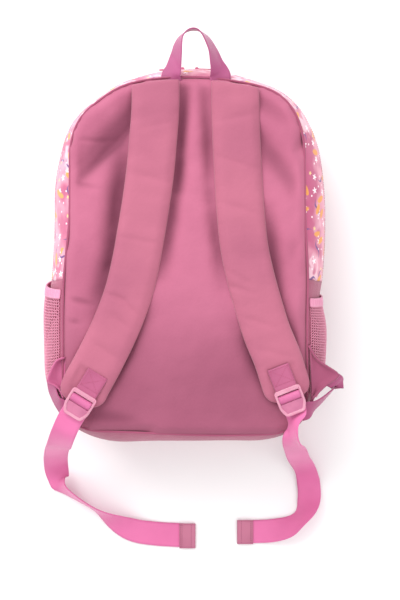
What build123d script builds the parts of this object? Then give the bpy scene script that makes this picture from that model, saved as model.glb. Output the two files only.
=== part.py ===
"""A school backpack lying on its front pocket, with its back panel and shoulder straps up.

Row frame, in millimetres: X across the bag, Y towards its top, Z up out of the back panel.
The origin is on the pocket face that the bag rests on, under the centre of the top arch.
"""

import os
from math import cos, radians, sin, sqrt

from build123d import *

os.makedirs("parts", exist_ok=True)

# --- depths, counted up from the surface that the bag lies on ---
POCKET_DEPTH = 26.0
FRONT_SEAM_Z = 28.0
BULGE_Z = 80.0
BACK_SEAM_Z = 130.0
ZIP_Z = 74.0
TAPE_WIDTH = 12.0
FABRIC = 2.0
THIN_FABRIC = 1.5
RUNNING_GAP = 0.3
CONTACT_GAP = 0.1

# --- outlines: a rounded arch, its crown an arc about the Z axis ---
SEAM = {"half": 138.0, "bottom": -200.0, "crown": 198.0, "corner": 28.0, "shoulder": 28.0}
BULGE = {"half": 150.0, "bottom": -211.0, "crown": 209.0, "corner": 40.0, "shoulder": 60.0}
POCKET = {"half": 118.0, "bottom": -196.0, "top": 70.0, "corner": 30.0}
ZIP_END_Y = -30.0
BOOT_CORNER_Y = -165.0

# --- inside the back panel ---
FOAM = 5.0
LINING = 0.8
BINDING_WIDTH = 3.0
BINDING_HEIGHT = 5.0
PIPING = 1.5

# --- webbing, straps and ladder locks ---
WEBBING = 26.0
WEBBING_THICK = 1.6
PAD_WIDTH = 56.0
PAD_COVER = 1.0
PAD_FOAM = 7.0
PAD_BOTTOM_Z = BACK_SEAM_Z + 2.5
BAR_RADIUS = 1.8
EYE_INNER = 2.0
EYE_OUTER = 3.4
BAR_Z = PAD_BOTTOM_Z + 2 * PAD_COVER + PAD_FOAM + EYE_OUTER + CONTACT_GAP
LOCK_SLOT = 26.6
LOCK_WIDTH = 31.0
LOCK_HEAD = 2.2
LOCK_LENGTH = 31.0
LOCK_THICK = 3.6
LIP_START = 21.5
MID_BAR = 12.0
TAB_LENGTH = 28.0

# --- zip sliders ---
SLIDER_ANGLE = 2.2
SLIDER_RADIUS = 209.5
SLIDER_LENGTH = 12.0
SLIDER_WIDTH = 9.0
SLIDER_HEIGHT = 3.6
PIN_HEIGHT = 6.4
PIN_RADIUS = 0.9
PULL_EYE = 2.3
PULL_WIDTH = 4.0
PULL_LENGTH = 24.0
PULL_THICK = 1.6
POCKET_ZIP_Z = 14.0
POCKET_ZIP_HALF = 92.0
POCKET_SLIDER_X = -75.0

# --- strap routes: the middle of each shoulder pad, from the top seam down ---
PAD_ROUTES = {
    "left": [
        (-38, 196), (-38.5, 163), (-41, 130), (-44, 96), (-48.5, 62), (-54, 28), (-60, -6),
        (-68, -40), (-78.5, -70), (-90, -96), (-103.5, -123), (-117.4, -149), (-122, -164),
    ],
    "right": [
        (51.5, 196), (52, 163), (53, 130), (55, 90), (57.5, 51), (61.5, 11), (68.5, -23),
        (77.5, -56), (87.5, -88), (99, -116), (107, -141), (112.5, -160),
    ],
}
# Where each ladder lock's upper bar sits, and the way the strap runs there.
LOCKS = {
    "left": {"bar": (-117.4, -157.5), "run": (-0.525, -0.851)},
    "right": {"bar": (109.5, -152.0), "run": (0.365, -0.931)},
}
# The free tails: each point on the webbing's middle line, and the way its width lies there.
TAIL_ROUTES = {
    "left": [
        ((-131.4, -180.4, 140.7), (0.85, -0.53, 0)), ((-135.5, -187.0, 140.4), (0.85, -0.53, 0)),
        ((-143.0, -203.0, 131.0), (0.92, -0.38, 0)), ((-149.0, -217.0, 106.0), (0.98, -0.20, 0)),
        ((-153.5, -224.0, 74.0), (1, 0, 0)), ((-157.0, -235.0, 40.0), (1, 0.05, 0)),
        ((-158.0, -249.0, 13.0), (0.97, 0.22, 0.1)), ((-155.5, -263.0, 7.5), (0.85, 0.30, 0.42)),
        ((-147.0, -275.5, 11.0), (0.52, 0.45, 0.72)), ((-130.0, -288.0, 14.0), (0.18, 0.25, 0.95)),
        ((-110.0, -300.0, 14.5), (0.05, 0.22, 0.97)), ((-88.0, -314.0, 11.0), (0.12, 0.72, 0.68)),
        ((-65.0, -324.5, 4.5), (0.10, 0.97, 0.2)), ((-40.0, -328.5, 1.5), (0.02, 1, 0)),
        ((-17.0, -330.0, 1.3), (0, 1, 0)), ((4.5, -331.0, 1.3), (0, 1, 0)),
    ],
    "right": [
        ((118.8, -176.6, 140.7), (0.93, 0.37, 0)), ((119.5, -183.0, 140.4), (0.95, 0.30, 0)),
        ((118.5, -198.0, 138.5), (0.98, 0.12, 0)), ((118.0, -213.0, 125.0), (0.99, 0.05, 0)),
        ((121.0, -222.5, 98.0), (0.98, 0.12, 0.1)), ((126.0, -234.0, 64.0), (0.95, 0.15, 0.15)),
        ((132.5, -244.5, 32.0), (0.95, 0.2, 0.15)), ((138.0, -256.0, 11.0), (0.97, 0.12, 0.1)),
        ((141.0, -270.0, 3.5), (1, 0, 0)), ((141.5, -285.0, 4.0), (0.98, -0.15, 0.15)),
        ((139.0, -299.0, 8.5), (0.80, -0.40, 0.45)), ((131.0, -311.0, 11.0), (0.45, -0.62, 0.64)),
        ((117.0, -319.5, 9.0), (0.2, -0.83, 0.5)), ((98.0, -324.5, 4.0), (0.05, -0.98, 0.15)),
        ((77.0, -326.0, 1.4), (0, -1, 0)), ((58.0, -326.5, 1.3), (0, -1, 0)),
    ],
}
# The lengths that join each ladder lock to its wing tab.
LOOP_ROUTES = {
    "left": [
        ((-153.5, -138.5, 131.0), (0.80, -0.6, 0)), ((-157.5, -151.0, 132.0), (0.60, -0.2, 0.77)),
        ((-157.5, -163.0, 131.5), (0.10, 0, 1)), ((-151.0, -171.5, 131.5), (0.10, 0.15, 0.98)),
        ((-142.0, -176.5, 132.5), (0.10, 0.80, 0.6)), ((-131.5, -178.0, 135.5), (0.10, 0.99, 0)),
    ],
    "right": [
        ((151.5, -133.5, 131.0), (0.15, 0.98, 0)), ((166.0, -139.0, 132.5), (0.4, 0.50, 0.75)),
        ((169.0, -149.0, 131.5), (0.15, 0, 1)), ((162.0, -159.0, 131.5), (0.1, 0.1, 1)),
        ((148.0, -169.0, 133.0), (-0.3, 0.70, 0.6)), ((130.5, -175.5, 135.5), (-0.2, 0.98, 0)),
    ],
}
WINGS = {
    "left": [(-138.6, -108), (-138.6, -168), (-148, -152), (-157, -138), (-150, -126)],
    "right": [(138.6, -103), (138.6, -168), (147, -155), (149.5, -141), (155, -128), (150, -117)],
}
# The haul loop's middle line from its left base round to its right one, and how far it has turned over there.
HAUL_ROUTE = [
    (-20.6, 203.0, 20), (-18.0, 211.5, 38), (-15.0, 226.0, 55), (-12.8, 238.0, 66), (-9.5, 246.5, 76),
    (-3.4, 252.5, 84), (4.0, 255.0, 90), (11.5, 253.0, 98), (19.5, 245.0, 110), (26.5, 231.5, 118),
    (30.5, 218.0, 132), (33.5, 209.0, 160), (34.8, 203.0, 172),
]

SIDE_POCKETS = {
    "left": {"side": -1, "mouth": -33.0, "swell": 159.0},
    "right": {"side": 1, "mouth": -47.0, "swell": 158.0},
}
ELASTIC = 10.0


def store(part, label):
    """Labels a finished sub-part and writes its STEP file."""
    part.label = label
    export_step(part, f"parts/{label}.step")


def inset(section, by):
    """The same outline, taken in by a distance."""
    smaller = {key: section[key] - by for key in ("half", "crown", "corner", "shoulder")}
    return {**smaller, "bottom": section["bottom"] + by}


def bag_face(section):
    """The rounded arch as a face: straight sides and bottom, and a crown that is an arc about the Z axis."""
    half, bottom, crown = section["half"], section["bottom"], section["crown"]
    shoulder_y = sqrt(crown**2 - half**2)
    with BuildSketch() as face:
        with BuildLine():
            Polyline((-half, shoulder_y), (-half, bottom), (half, bottom), (half, shoulder_y))
            ThreePointArc((half, shoulder_y), (0, crown), (-half, shoulder_y))
        make_face()
        fillet(face.vertices().group_by(Axis.Y)[0], section["corner"])
        fillet(face.vertices().group_by(Axis.Y)[-1], section["shoulder"])
    return face.sketch


def ribbon_face(points, width, end_radius):
    """A flat band of even width along points, its last end rounded."""
    left, right = [], []
    for i, (x, y) in enumerate(points):
        before, after = points[max(i - 1, 0)], points[min(i + 1, len(points) - 1)]
        run = Vector(after[0] - before[0], after[1] - before[1]).normalized()
        left.append((x - run.Y * width / 2, y + run.X * width / 2))
        right.append((x + run.Y * width / 2, y - run.X * width / 2))
    with BuildSketch() as face:
        with BuildLine():
            Spline(*left)
            Line(left[-1], right[-1])
            Spline(*reversed(right))
            Line(right[0], left[0])
        make_face()
        ends = [face.vertices().sort_by_distance(corner)[0] for corner in (left[-1], right[-1])]
        fillet(ends, end_radius)
    return face.sketch


def plate(label, face, bottom, thick):
    """A flat sheet of a face's outline."""
    with BuildPart() as sheet:
        with BuildSketch(Plane.XY.offset(bottom)):
            add(face)
        extrude(amount=thick)
    store(sheet.part, label)


def ring(label, outer, inner, bottom, height):
    """A band that follows the bag's outline, between two outlines."""
    with BuildPart() as band:
        with BuildSketch(Plane.XY.offset(bottom)):
            add(bag_face(outer))
            add(bag_face(inner), mode=Mode.SUBTRACT)
        extrude(amount=height)
    store(band.part, label)


def webbing(label, route, width=WEBBING, thick=WEBBING_THICK):
    """A length of webbing along a route that gives each point and the way that its width lies there."""
    with BuildPart() as strip:
        for i, (point, across) in enumerate(route):
            before, after = route[max(i - 1, 0)][0], route[min(i + 1, len(route) - 1)][0]
            run = (Vector(*after) - Vector(*before)).normalized()
            across = Vector(*across)
            across = (across - run * across.dot(run)).normalized()
            with BuildSketch(Plane(origin=point, x_dir=across, z_dir=run)):
                Rectangle(width, thick)
        loft(ruled=True)
    store(strip.part, label)


def route_length(route):
    """The length of a webbing route, corner to corner."""
    points = [Vector(*point) for point, across in route]
    return sum((b - a).length for a, b in zip(points, points[1:]))


# --- the gusset all round the bag: one bulging shell, cut where its panels are sewn ---
GUSSET_LEVELS = [(FRONT_SEAM_Z, SEAM), (BULGE_Z, BULGE), (BACK_SEAM_Z, SEAM)]
with BuildPart() as gusset:
    for level, section in GUSSET_LEVELS:
        with BuildSketch(Plane.XY.offset(level)):
            add(bag_face(section))
    loft(ruled=True)
    for level, section in GUSSET_LEVELS:
        with BuildSketch(Plane.XY.offset(level)):
            add(bag_face(inset(section, FABRIC)))
    loft(ruled=True, mode=Mode.SUBTRACT)

REACH = 400.0


def gusset_panel(label, low, high):
    """The part of the gusset shell between two corners of a box."""
    middle = tuple((a + b) / 2 for a, b in zip(low, high))
    size = [b - a for a, b in zip(low, high)]
    with BuildPart() as panel:
        add(gusset.part)
        with Locations(middle):
            Box(*size, mode=Mode.INTERSECT)
    store(panel.part, label)


TAPE_LOW = ZIP_Z - TAPE_WIDTH
TAPE_HIGH = ZIP_Z + TAPE_WIDTH
HALF_GAP = RUNNING_GAP / 2
gusset_panel("front_gusset", (-REACH, ZIP_END_Y, FRONT_SEAM_Z), (REACH, REACH, TAPE_LOW))
gusset_panel("zip_tape_front", (-REACH, ZIP_END_Y, TAPE_LOW), (REACH, REACH, ZIP_Z - HALF_GAP))
gusset_panel("zip_tape_back", (-REACH, ZIP_END_Y + RUNNING_GAP, ZIP_Z + HALF_GAP), (REACH, REACH, TAPE_HIGH))
gusset_panel("back_gusset", (-REACH, ZIP_END_Y + RUNNING_GAP, TAPE_HIGH), (REACH, REACH, BACK_SEAM_Z))
gusset_panel("boot_left", (-REACH, BOOT_CORNER_Y, FRONT_SEAM_Z), (0, ZIP_END_Y, BACK_SEAM_Z))
gusset_panel("boot_right", (0, BOOT_CORNER_Y, FRONT_SEAM_Z), (REACH, ZIP_END_Y, BACK_SEAM_Z))
gusset_panel("boot_bottom", (-REACH, -REACH, FRONT_SEAM_Z), (REACH, BOOT_CORNER_Y, BACK_SEAM_Z))

# --- front and back panels with their piping, foam, lining and the tape that binds the inside seams ---
INSIDE = inset(SEAM, FABRIC + RUNNING_GAP)
BINDING_INNER = inset(INSIDE, BINDING_WIDTH)
plate("front_panel", bag_face(SEAM), POCKET_DEPTH, FRONT_SEAM_Z - POCKET_DEPTH)
ring("front_seam_binding", INSIDE, BINDING_INNER, FRONT_SEAM_Z, BINDING_HEIGHT)
plate("back_panel", bag_face(SEAM), BACK_SEAM_Z + RUNNING_GAP, THIN_FABRIC)
FOAM_BOTTOM_Z = BACK_SEAM_Z + RUNNING_GAP - FOAM
plate("back_foam", bag_face(INSIDE), FOAM_BOTTOM_Z, FOAM)
plate("back_lining", bag_face(INSIDE), FOAM_BOTTOM_Z - LINING, LINING)
BACK_BINDING_Z = FOAM_BOTTOM_Z - LINING - BINDING_HEIGHT
ring("back_seam_binding", inset(INSIDE, 1), inset(BINDING_INNER, 1), BACK_BINDING_Z, BINDING_HEIGHT)
PIPING_OUTER = inset(SEAM, -PIPING)
PIPING_INNER = inset(SEAM, -CONTACT_GAP)
ring("back_piping", PIPING_OUTER, PIPING_INNER, BACK_SEAM_Z + CONTACT_GAP, THIN_FABRIC)
ring("front_piping", PIPING_OUTER, PIPING_INNER, POCKET_DEPTH, FRONT_SEAM_Z - POCKET_DEPTH - CONTACT_GAP)


# --- front pocket: a face, a gusset in four lengths, and a zip in the top one ---
def pocket_face(by=0.0):
    """The front pocket's rounded outline, taken in by a distance."""
    width = 2 * (POCKET["half"] - by)
    length = POCKET["top"] - POCKET["bottom"] - 2 * by
    middle = (POCKET["top"] + POCKET["bottom"]) / 2
    with BuildSketch() as face:
        with Locations((0, middle)):
            RectangleRounded(width, length, POCKET["corner"] - by)
    return face.sketch


POCKET_WALL_TOP = POCKET_DEPTH - CONTACT_GAP
POCKET_CUT_X = POCKET["half"] - POCKET["corner"]
POCKET_TOP_CUT = POCKET["top"] - POCKET["corner"]
POCKET_BOTTOM_CUT = POCKET["bottom"] + POCKET["corner"]
POCKET_TAPE = 4.0
plate("pocket_face", pocket_face(), 0, THIN_FABRIC)
with BuildPart() as pocket_wall:
    with BuildSketch(Plane.XY.offset(THIN_FABRIC)):
        add(pocket_face())
        add(pocket_face(FABRIC), mode=Mode.SUBTRACT)
    extrude(amount=POCKET_WALL_TOP - THIN_FABRIC)


def pocket_panel(label, low, high):
    """The part of the pocket's wall between two corners of a box."""
    middle = tuple((a + b) / 2 for a, b in zip(low, high))
    size = [b - a for a, b in zip(low, high)]
    with BuildPart() as panel:
        add(pocket_wall.part)
        with Locations(middle):
            Box(*size, mode=Mode.INTERSECT)
    store(panel.part, label)


for side, left, right in (("left", -REACH, -POCKET_CUT_X), ("right", POCKET_CUT_X, REACH)):
    pocket_panel(f"pocket_side_{side}", (left, POCKET_BOTTOM_CUT, 0), (right, POCKET_TOP_CUT, POCKET_DEPTH))
pocket_panel("pocket_bottom", (-REACH, -REACH, 0), (REACH, POCKET_BOTTOM_CUT, POCKET_DEPTH))
with BuildPart() as pocket_top:
    add(pocket_wall.part)
    with Locations((0, POCKET_TOP_CUT + REACH / 2, POCKET_DEPTH / 2)):
        Box(2 * REACH, REACH, POCKET_DEPTH, mode=Mode.INTERSECT)
    with Locations((0, POCKET["top"], POCKET_ZIP_Z)):
        Box(2 * POCKET_ZIP_HALF, 4 * FABRIC, 2 * POCKET_TAPE, mode=Mode.SUBTRACT)
store(pocket_top.part, "pocket_top")
with BuildPart() as pocket_zip:
    with Locations((0, POCKET["top"] - FABRIC / 2, POCKET_ZIP_Z)):
        Box(2 * POCKET_ZIP_HALF, FABRIC, 2 * POCKET_TAPE)
store(pocket_zip.part, "pocket_zip_tape")


# --- sliders and pulls: X runs along the zip, Y stands out of the tape, Z goes across it ---
def slider(label, place):
    """A slider's body with two lugs and the pin that its pull hangs on."""
    with BuildPart() as body:
        with BuildSketch(Plane(place.origin - place.z_dir * SLIDER_WIDTH / 2, x_dir=place.x_dir, z_dir=place.z_dir)):
            with Locations((0, SLIDER_HEIGHT / 2)):
                RectangleRounded(SLIDER_LENGTH, SLIDER_HEIGHT, 1.2)
        extrude(amount=SLIDER_WIDTH)
        for z in (-2.9, 2.9):
            lug_start = place.origin + place.z_dir * (z - 0.5)
            with BuildSketch(Plane(lug_start, x_dir=place.x_dir, z_dir=place.z_dir)):
                with Locations((0, (SLIDER_HEIGHT + PIN_HEIGHT) / 2)):
                    Rectangle(3.6, PIN_HEIGHT - SLIDER_HEIGHT + 2.6)
            extrude(amount=1.0)
        with BuildSketch(Plane(place.origin - place.z_dir * 3, x_dir=place.x_dir, z_dir=place.z_dir)):
            with Locations((0, PIN_HEIGHT)):
                Circle(PIN_RADIUS)
        extrude(amount=6.0)
    store(body.part, label)


def pull(label, place, way):
    """A pull tab with a round eye on the slider's pin and a hole near its free end, pointing one way along the zip."""
    with BuildPart() as tab:
        with BuildSketch(Plane(place.origin - place.z_dir * 2, x_dir=place.x_dir, z_dir=place.z_dir)):
            with Locations((0, PIN_HEIGHT)):
                Circle(PULL_EYE)
            with Locations((way * PULL_LENGTH / 2, PIN_HEIGHT)):
                Rectangle(PULL_LENGTH, PULL_THICK)
            with Locations((0, PIN_HEIGHT)):
                Circle(PIN_RADIUS + RUNNING_GAP, mode=Mode.SUBTRACT)
        extrude(amount=PULL_WIDTH)
        free_end = place.origin + place.x_dir * way * PULL_LENGTH + place.y_dir * (PIN_HEIGHT - PULL_THICK / 2)
        with BuildSketch(Plane(free_end, x_dir=place.x_dir, z_dir=place.y_dir)):
            with Locations((-way * 3, 0)):
                RectangleRounded(12, 7, 3)
        extrude(amount=PULL_THICK)
        with BuildSketch(Plane(free_end, x_dir=place.x_dir, z_dir=place.y_dir)):
            SlotCenterToCenter(3, 2.4)
        extrude(amount=PULL_THICK, mode=Mode.SUBTRACT)
    store(tab.part, label)


for side, sign in (("left", 1), ("right", -1)):
    turn = radians(90 + sign * SLIDER_ANGLE)
    out = Vector(cos(turn), sin(turn), 0)
    place = Plane(out * SLIDER_RADIUS + Vector(0, 0, ZIP_Z), x_dir=Vector(out.Y, -out.X, 0), z_dir=(0, 0, 1))
    slider(f"main_slider_{side}", place)
    pull(f"main_pull_{side}", place, -sign)
pocket_place = Plane((POCKET_SLIDER_X, POCKET["top"] + RUNNING_GAP, POCKET_ZIP_Z), x_dir=(1, 0, 0), z_dir=(0, 0, 1))
slider("pocket_slider", pocket_place)
pull("pocket_pull", pocket_place, 1)


# --- side pockets: bulging net with an elastic edge ---
def net_section(y, side, swell, thick):
    """A slice across a side pocket: a crescent from the front seam out to its swell and back to the back seam."""
    edge, low, high = 141.0, FRONT_SEAM_Z + 3, BACK_SEAM_Z - 3
    middle = (low + high) / 2
    with BuildSketch(Plane.XZ.offset(-y)) as slice_face:
        with BuildLine():
            ThreePointArc((side * edge, low), (side * swell, middle), (side * edge, high))
            Line((side * edge, high), (side * (edge - thick), high))
            ThreePointArc((side * (edge - thick), high), (side * (swell - thick), middle), (side * (edge - thick), low))
            Line((side * (edge - thick), low), (side * edge, low))
        make_face()
    return slice_face.sketch


for name, pocket in SIDE_POCKETS.items():
    side, mouth = pocket["side"], pocket["mouth"]
    swell = pocket["swell"]
    net_levels = [(mouth - ELASTIC, swell), (mouth - 40, swell + 3), (mouth - 75, swell + 1), (-162.0, swell - 4)]
    with BuildPart() as net:
        for y, out in net_levels:
            add(net_section(y, side, out, 1.2).faces())
        loft(ruled=True)
    store(net.part, f"side_net_{name}")
    with BuildPart() as elastic:
        for y, out in ((mouth, swell - 1), (mouth - ELASTIC, swell)):
            add(net_section(y, side, out, 1.6).faces())
        loft(ruled=True)
    store(elastic.part, f"side_elastic_{name}")

# --- shoulder straps, their tabs, the ladder locks and the webbing that adjusts them ---
for side in ("left", "right"):
    pad = ribbon_face(PAD_ROUTES[side], PAD_WIDTH, 20)
    plate(f"strap_backing_{side}", pad, PAD_BOTTOM_Z, PAD_COVER)
    plate(f"strap_foam_{side}", pad, PAD_BOTTOM_Z + PAD_COVER, PAD_FOAM)
    plate(f"strap_cover_{side}", pad, PAD_BOTTOM_Z + PAD_COVER + PAD_FOAM, PAD_COVER)

    bar, run = LOCKS[side]["bar"], LOCKS[side]["run"]
    run = Vector(*run, 0).normalized()
    across = Vector(-run.Y, run.X, 0)
    centre = Vector(*bar, BAR_Z)

    def edge_on(width):
        """A plane whose X runs down the strap and whose Y is up, at one edge of a piece of this width."""
        return Plane(centre + across * width / 2, x_dir=run, z_dir=across * -1)

    up = edge_on(WEBBING).y_dir.Z
    with BuildPart() as tab:
        with BuildSketch(edge_on(WEBBING)):
            with Locations((-TAB_LENGTH / 2, up * (0.7 - EYE_OUTER))):
                Rectangle(TAB_LENGTH, 1.4)
            with Locations((-TAB_LENGTH / 2, up * (2.2 - EYE_OUTER))):
                Rectangle(TAB_LENGTH, 1.6)
            Circle(EYE_OUTER)
            Circle(EYE_INNER, mode=Mode.SUBTRACT)
        extrude(amount=WEBBING)
    store(tab.part, f"strap_tab_{side}")

    flat = Plane(centre - Vector(0, 0, LOCK_THICK / 2), x_dir=run, z_dir=(0, 0, 1))
    with BuildPart() as lock:
        with BuildSketch(flat):
            with Locations((LOCK_LENGTH / 2 - LOCK_HEAD, 0)):
                RectangleRounded(LOCK_LENGTH, LOCK_WIDTH, 3)
            window = (MID_BAR + LIP_START) / 2
            with Locations((window / 2, 0), (LIP_START / 2, 0)):
                Rectangle(LIP_START, LOCK_SLOT, mode=Mode.SUBTRACT)
            with Locations((-2, 0)):
                Rectangle(LIP_START / 2, LOCK_SLOT, mode=Mode.SUBTRACT)
        extrude(amount=LOCK_THICK)
        fillet(lock.edges().filter_by(Axis.Z, reverse=True).group_by(Axis.Z)[-1], 0.7)
        with BuildSketch(edge_on(LOCK_SLOT + 1)):
            with Locations((0, 0), (MID_BAR, 0)):
                Circle(BAR_RADIUS)
        extrude(amount=LOCK_SLOT + 1)
    store(lock.part, f"ladder_lock_{side}")

    with BuildPart() as wrap:
        with BuildSketch(edge_on(WEBBING)):
            with Locations((MID_BAR, 0)):
                Circle(EYE_OUTER)
                Circle(EYE_INNER, mode=Mode.SUBTRACT)
        extrude(amount=WEBBING)
    store(wrap.part, f"webbing_wrap_{side}")

    with BuildSketch() as wing_face:
        with BuildLine():
            Polyline(*WINGS[side], close=True)
        make_face()
    plate(f"wing_tab_{side}", wing_face.sketch, BACK_SEAM_Z - 2.2, FABRIC)
    webbing(f"webbing_loop_{side}", LOOP_ROUTES[side], width=WEBBING - 6)
    webbing(f"webbing_tail_{side}", TAIL_ROUTES[side])
    print("tail", side, round(route_length(TAIL_ROUTES[side]), 1), "mm corner to corner")

# --- haul loop: webbing sewn flat in the top seam, turned on edge at its top ---
haul_turns = [(Vector(x, y, BACK_SEAM_Z), radians(turned)) for x, y, turned in HAUL_ROUTE]
haul_route = [(tuple(point), (cos(turn), 0, sin(turn))) for point, turn in haul_turns]
webbing("haul_loop", haul_route, width=WEBBING - 3)
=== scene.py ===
"""A school backpack that lies on its front pocket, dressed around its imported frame.

X runs across the bag, Y towards its top and Z up out of the back panel, in metres.
"""

import math

import bmesh
import bpy
import numpy as np
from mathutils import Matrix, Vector, noise


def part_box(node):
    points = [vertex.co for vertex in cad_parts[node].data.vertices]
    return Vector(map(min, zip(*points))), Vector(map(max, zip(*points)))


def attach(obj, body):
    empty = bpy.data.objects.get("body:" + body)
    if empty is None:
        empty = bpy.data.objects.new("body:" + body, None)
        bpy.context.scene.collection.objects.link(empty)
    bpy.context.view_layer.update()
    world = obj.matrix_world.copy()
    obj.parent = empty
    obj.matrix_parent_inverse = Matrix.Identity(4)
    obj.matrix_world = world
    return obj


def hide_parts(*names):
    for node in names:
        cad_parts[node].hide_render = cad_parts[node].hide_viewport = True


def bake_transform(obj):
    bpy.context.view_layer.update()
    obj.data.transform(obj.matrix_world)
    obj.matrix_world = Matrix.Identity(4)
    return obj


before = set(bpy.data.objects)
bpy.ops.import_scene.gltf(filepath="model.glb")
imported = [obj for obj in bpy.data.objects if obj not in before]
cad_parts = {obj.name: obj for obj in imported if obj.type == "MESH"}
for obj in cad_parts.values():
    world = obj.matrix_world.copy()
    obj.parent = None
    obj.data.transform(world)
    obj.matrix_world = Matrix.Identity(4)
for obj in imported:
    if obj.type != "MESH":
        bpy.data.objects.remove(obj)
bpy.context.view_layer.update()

MM = 0.001

# --- sizes of the bag's own pieces, in metres ---
FRONT_SEAM_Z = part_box("front_panel")[1][2]
BACK_SEAM_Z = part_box("back_gusset")[1][2]
ZIP_Z = (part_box("zip_tape_front")[1][2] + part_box("zip_tape_back")[0][2]) / 2
ZIP_END_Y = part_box("boot_left")[1][1]
PAD_BOTTOM_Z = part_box("strap_backing_left")[0][2]
PAD_TOP_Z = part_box("strap_cover_left")[1][2]
CLOTH = 0.8 * MM
WEBBING_THICK = 1.5 * MM
STITCH = 2.6 * MM


# =====================================================================================
# Shapes: curves, sheets and ribbons
# =====================================================================================
def smooth(low, high, value):
    """0 below low, 1 above high and an even ease between them."""
    t = np.clip((np.asarray(value, float) - low) / (high - low), 0, 1)
    return t * t * (3 - 2 * t)


def along(points, count=None, step=None):
    """A smooth line through given points, evenly spaced, as an array."""
    p = np.array(points, float)
    p = np.vstack([2 * p[0] - p[1], p, 2 * p[-1] - p[-2]])
    dense = []
    for i in range(1, len(p) - 2):
        t = np.linspace(0, 1, 24, endpoint=i == len(p) - 3)[:, None]
        a, b, c, d = p[i - 1], p[i], p[i + 1], p[i + 2]
        square, cube = 2 * a - 5 * b + 4 * c - d, 3 * b - a - 3 * c + d
        dense.append(0.5 * (2 * b + (c - a) * t + square * t**2 + cube * t**3))
    dense = np.vstack(dense)
    run = np.concatenate([[0], np.cumsum(np.linalg.norm(np.diff(dense[:, :3], axis=0), axis=1))])
    count = count or max(3, int(round(run[-1] / step)) + 1)
    marks = np.linspace(0, run[-1], count)
    return np.column_stack([np.interp(marks, run, dense[:, k]) for k in range(dense.shape[1])])


def bend(a, control, b, count=24):
    """A corner rounded from a to b about its control point."""
    t = np.linspace(0, 1, count)[:, None]
    return (1 - t) ** 2 * np.array(a) + 2 * t * (1 - t) * np.array(control) + t**2 * np.array(b)


# The bag's slump as it lies: each shoulder's place across the bag, how far it spreads and how far it moves.
LEFT_SHOULDER = (-108 * MM, 27 * MM, -5.5 * MM)
RIGHT_SHOULDER = (120 * MM, 32 * MM, 4.5 * MM)
# How far the lower half lies to the left, and where the bottom sags most.
LOWER_LEAN = -5 * MM
SAG_MIDDLE, SAG_SPREAD = 42 * MM, 105 * MM


def mound(x, middle, spread, height=1.0):
    """A smooth rise about a middle."""
    return height * np.exp(-(((x - middle) / spread) ** 2))


class Outline:
    """One closed outline of the bag, read by the share of the way round, from the middle of the bottom."""

    def __init__(
        self, half, top, crown_radius, crown_end, side_top, bottom, corner, lean=0.0, sag=0.0, drawn=0.0,
    ):
        slope = crown_end / math.sqrt(crown_radius**2 - crown_end**2)
        fall = crown_radius - math.sqrt(crown_radius**2 - crown_end**2)
        x = np.linspace(crown_end, 0, 40)
        crown = np.column_stack([x, top - crown_radius + np.sqrt(crown_radius**2 - x**2)])
        shoulder = (half, top - fall - slope * (half - crown_end))
        right = np.vstack([
            [(0, bottom)],
            bend((half - corner, bottom), (half, bottom), (half, bottom + corner)),
            bend((half, side_top), shoulder, (crown_end, top - fall)),
            crown,
        ])
        left = right[::-1][1:] * (-1, 1)
        ring = np.vstack([right, left]) * MM
        self.run = np.concatenate([[0], np.cumsum(np.linalg.norm(np.diff(ring, axis=0), axis=1))])
        self.length = self.run[-1]
        self.lean = lean * MM
        self.sag = sag * MM
        self.drawn = drawn * MM
        self.ring = ring

    def at(self, s):
        """The point at s, with the lean, drawn-in sides and slumped shoulder of the bag as it lies."""
        marks = np.mod(s, 1.0) * self.length
        x = np.interp(marks, self.run, self.ring[:, 0])
        y = np.interp(marks, self.run, self.ring[:, 1])
        lean = self.lean + (LOWER_LEAN - self.lean) * smooth(0.05, -0.08, y)
        sag = mound(x, SAG_MIDDLE, SAG_SPREAD, self.sag) * smooth(-0.14, -0.19, y)
        pull = self.drawn * smooth(-0.04, 0.06, y) * np.clip(x / (110 * MM), -1, 1)
        slump = (mound(x, *LEFT_SHOULDER) + mound(x, *RIGHT_SHOULDER)) * smooth(0.09, 0.14, y)
        return np.column_stack([x + lean - pull, y - sag + slump])

    def out(self, s):
        """The way straight out of the outline at s."""
        run = self.at(np.asarray(s) + 0.001) - self.at(np.asarray(s) - 0.001)
        run /= np.linalg.norm(run, axis=1)[:, None]
        return np.column_stack([run[:, 1], -run[:, 0]])

    def side(self, y):
        """How far round the right side reaches the height y."""
        s = np.linspace(0.12, 0.42, 800)
        return float(np.interp(y, self.at(s)[:, 1], s))


BACK_SEAM = Outline(
    half=137, top=200, crown_radius=330, crown_end=72, side_top=108, bottom=-197.5, corner=44, lean=-2.5,
    sag=5.5, drawn=5.5,
)
FRONT_SEAM = Outline(
    half=137, top=198, crown_radius=260, crown_end=72, side_top=100, bottom=-199, corner=60, lean=-2.0,
)
GIRTH = Outline(half=155, top=213, crown_radius=250, crown_end=60, side_top=58, bottom=-212.5, corner=88)
ZIP_END = GIRTH.side(ZIP_END_Y)


def wobble(points, size, seed):
    """Smooth seeded unevenness, one value from about -1 to 1 for each point."""
    shift = Vector((seed * 17.3, seed * 5.1, seed * 9.7))
    return np.array([noise.noise(Vector(p) / size + shift) for p in points])


def seam_height(s, level):
    """The seams dip a little towards the bag's bottom, where its load has pulled the cloth down."""
    y = BACK_SEAM.at(s)[:, 1]
    return level - level / BACK_SEAM_Z * 5 * MM * smooth(-0.06, -0.20, y)


# Where the right pocket's mouth draws the wall in, how far along the side, and how deep.
MOUTH_PINCH = (-52 * MM, 20 * MM, -4.0 * MM)


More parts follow.
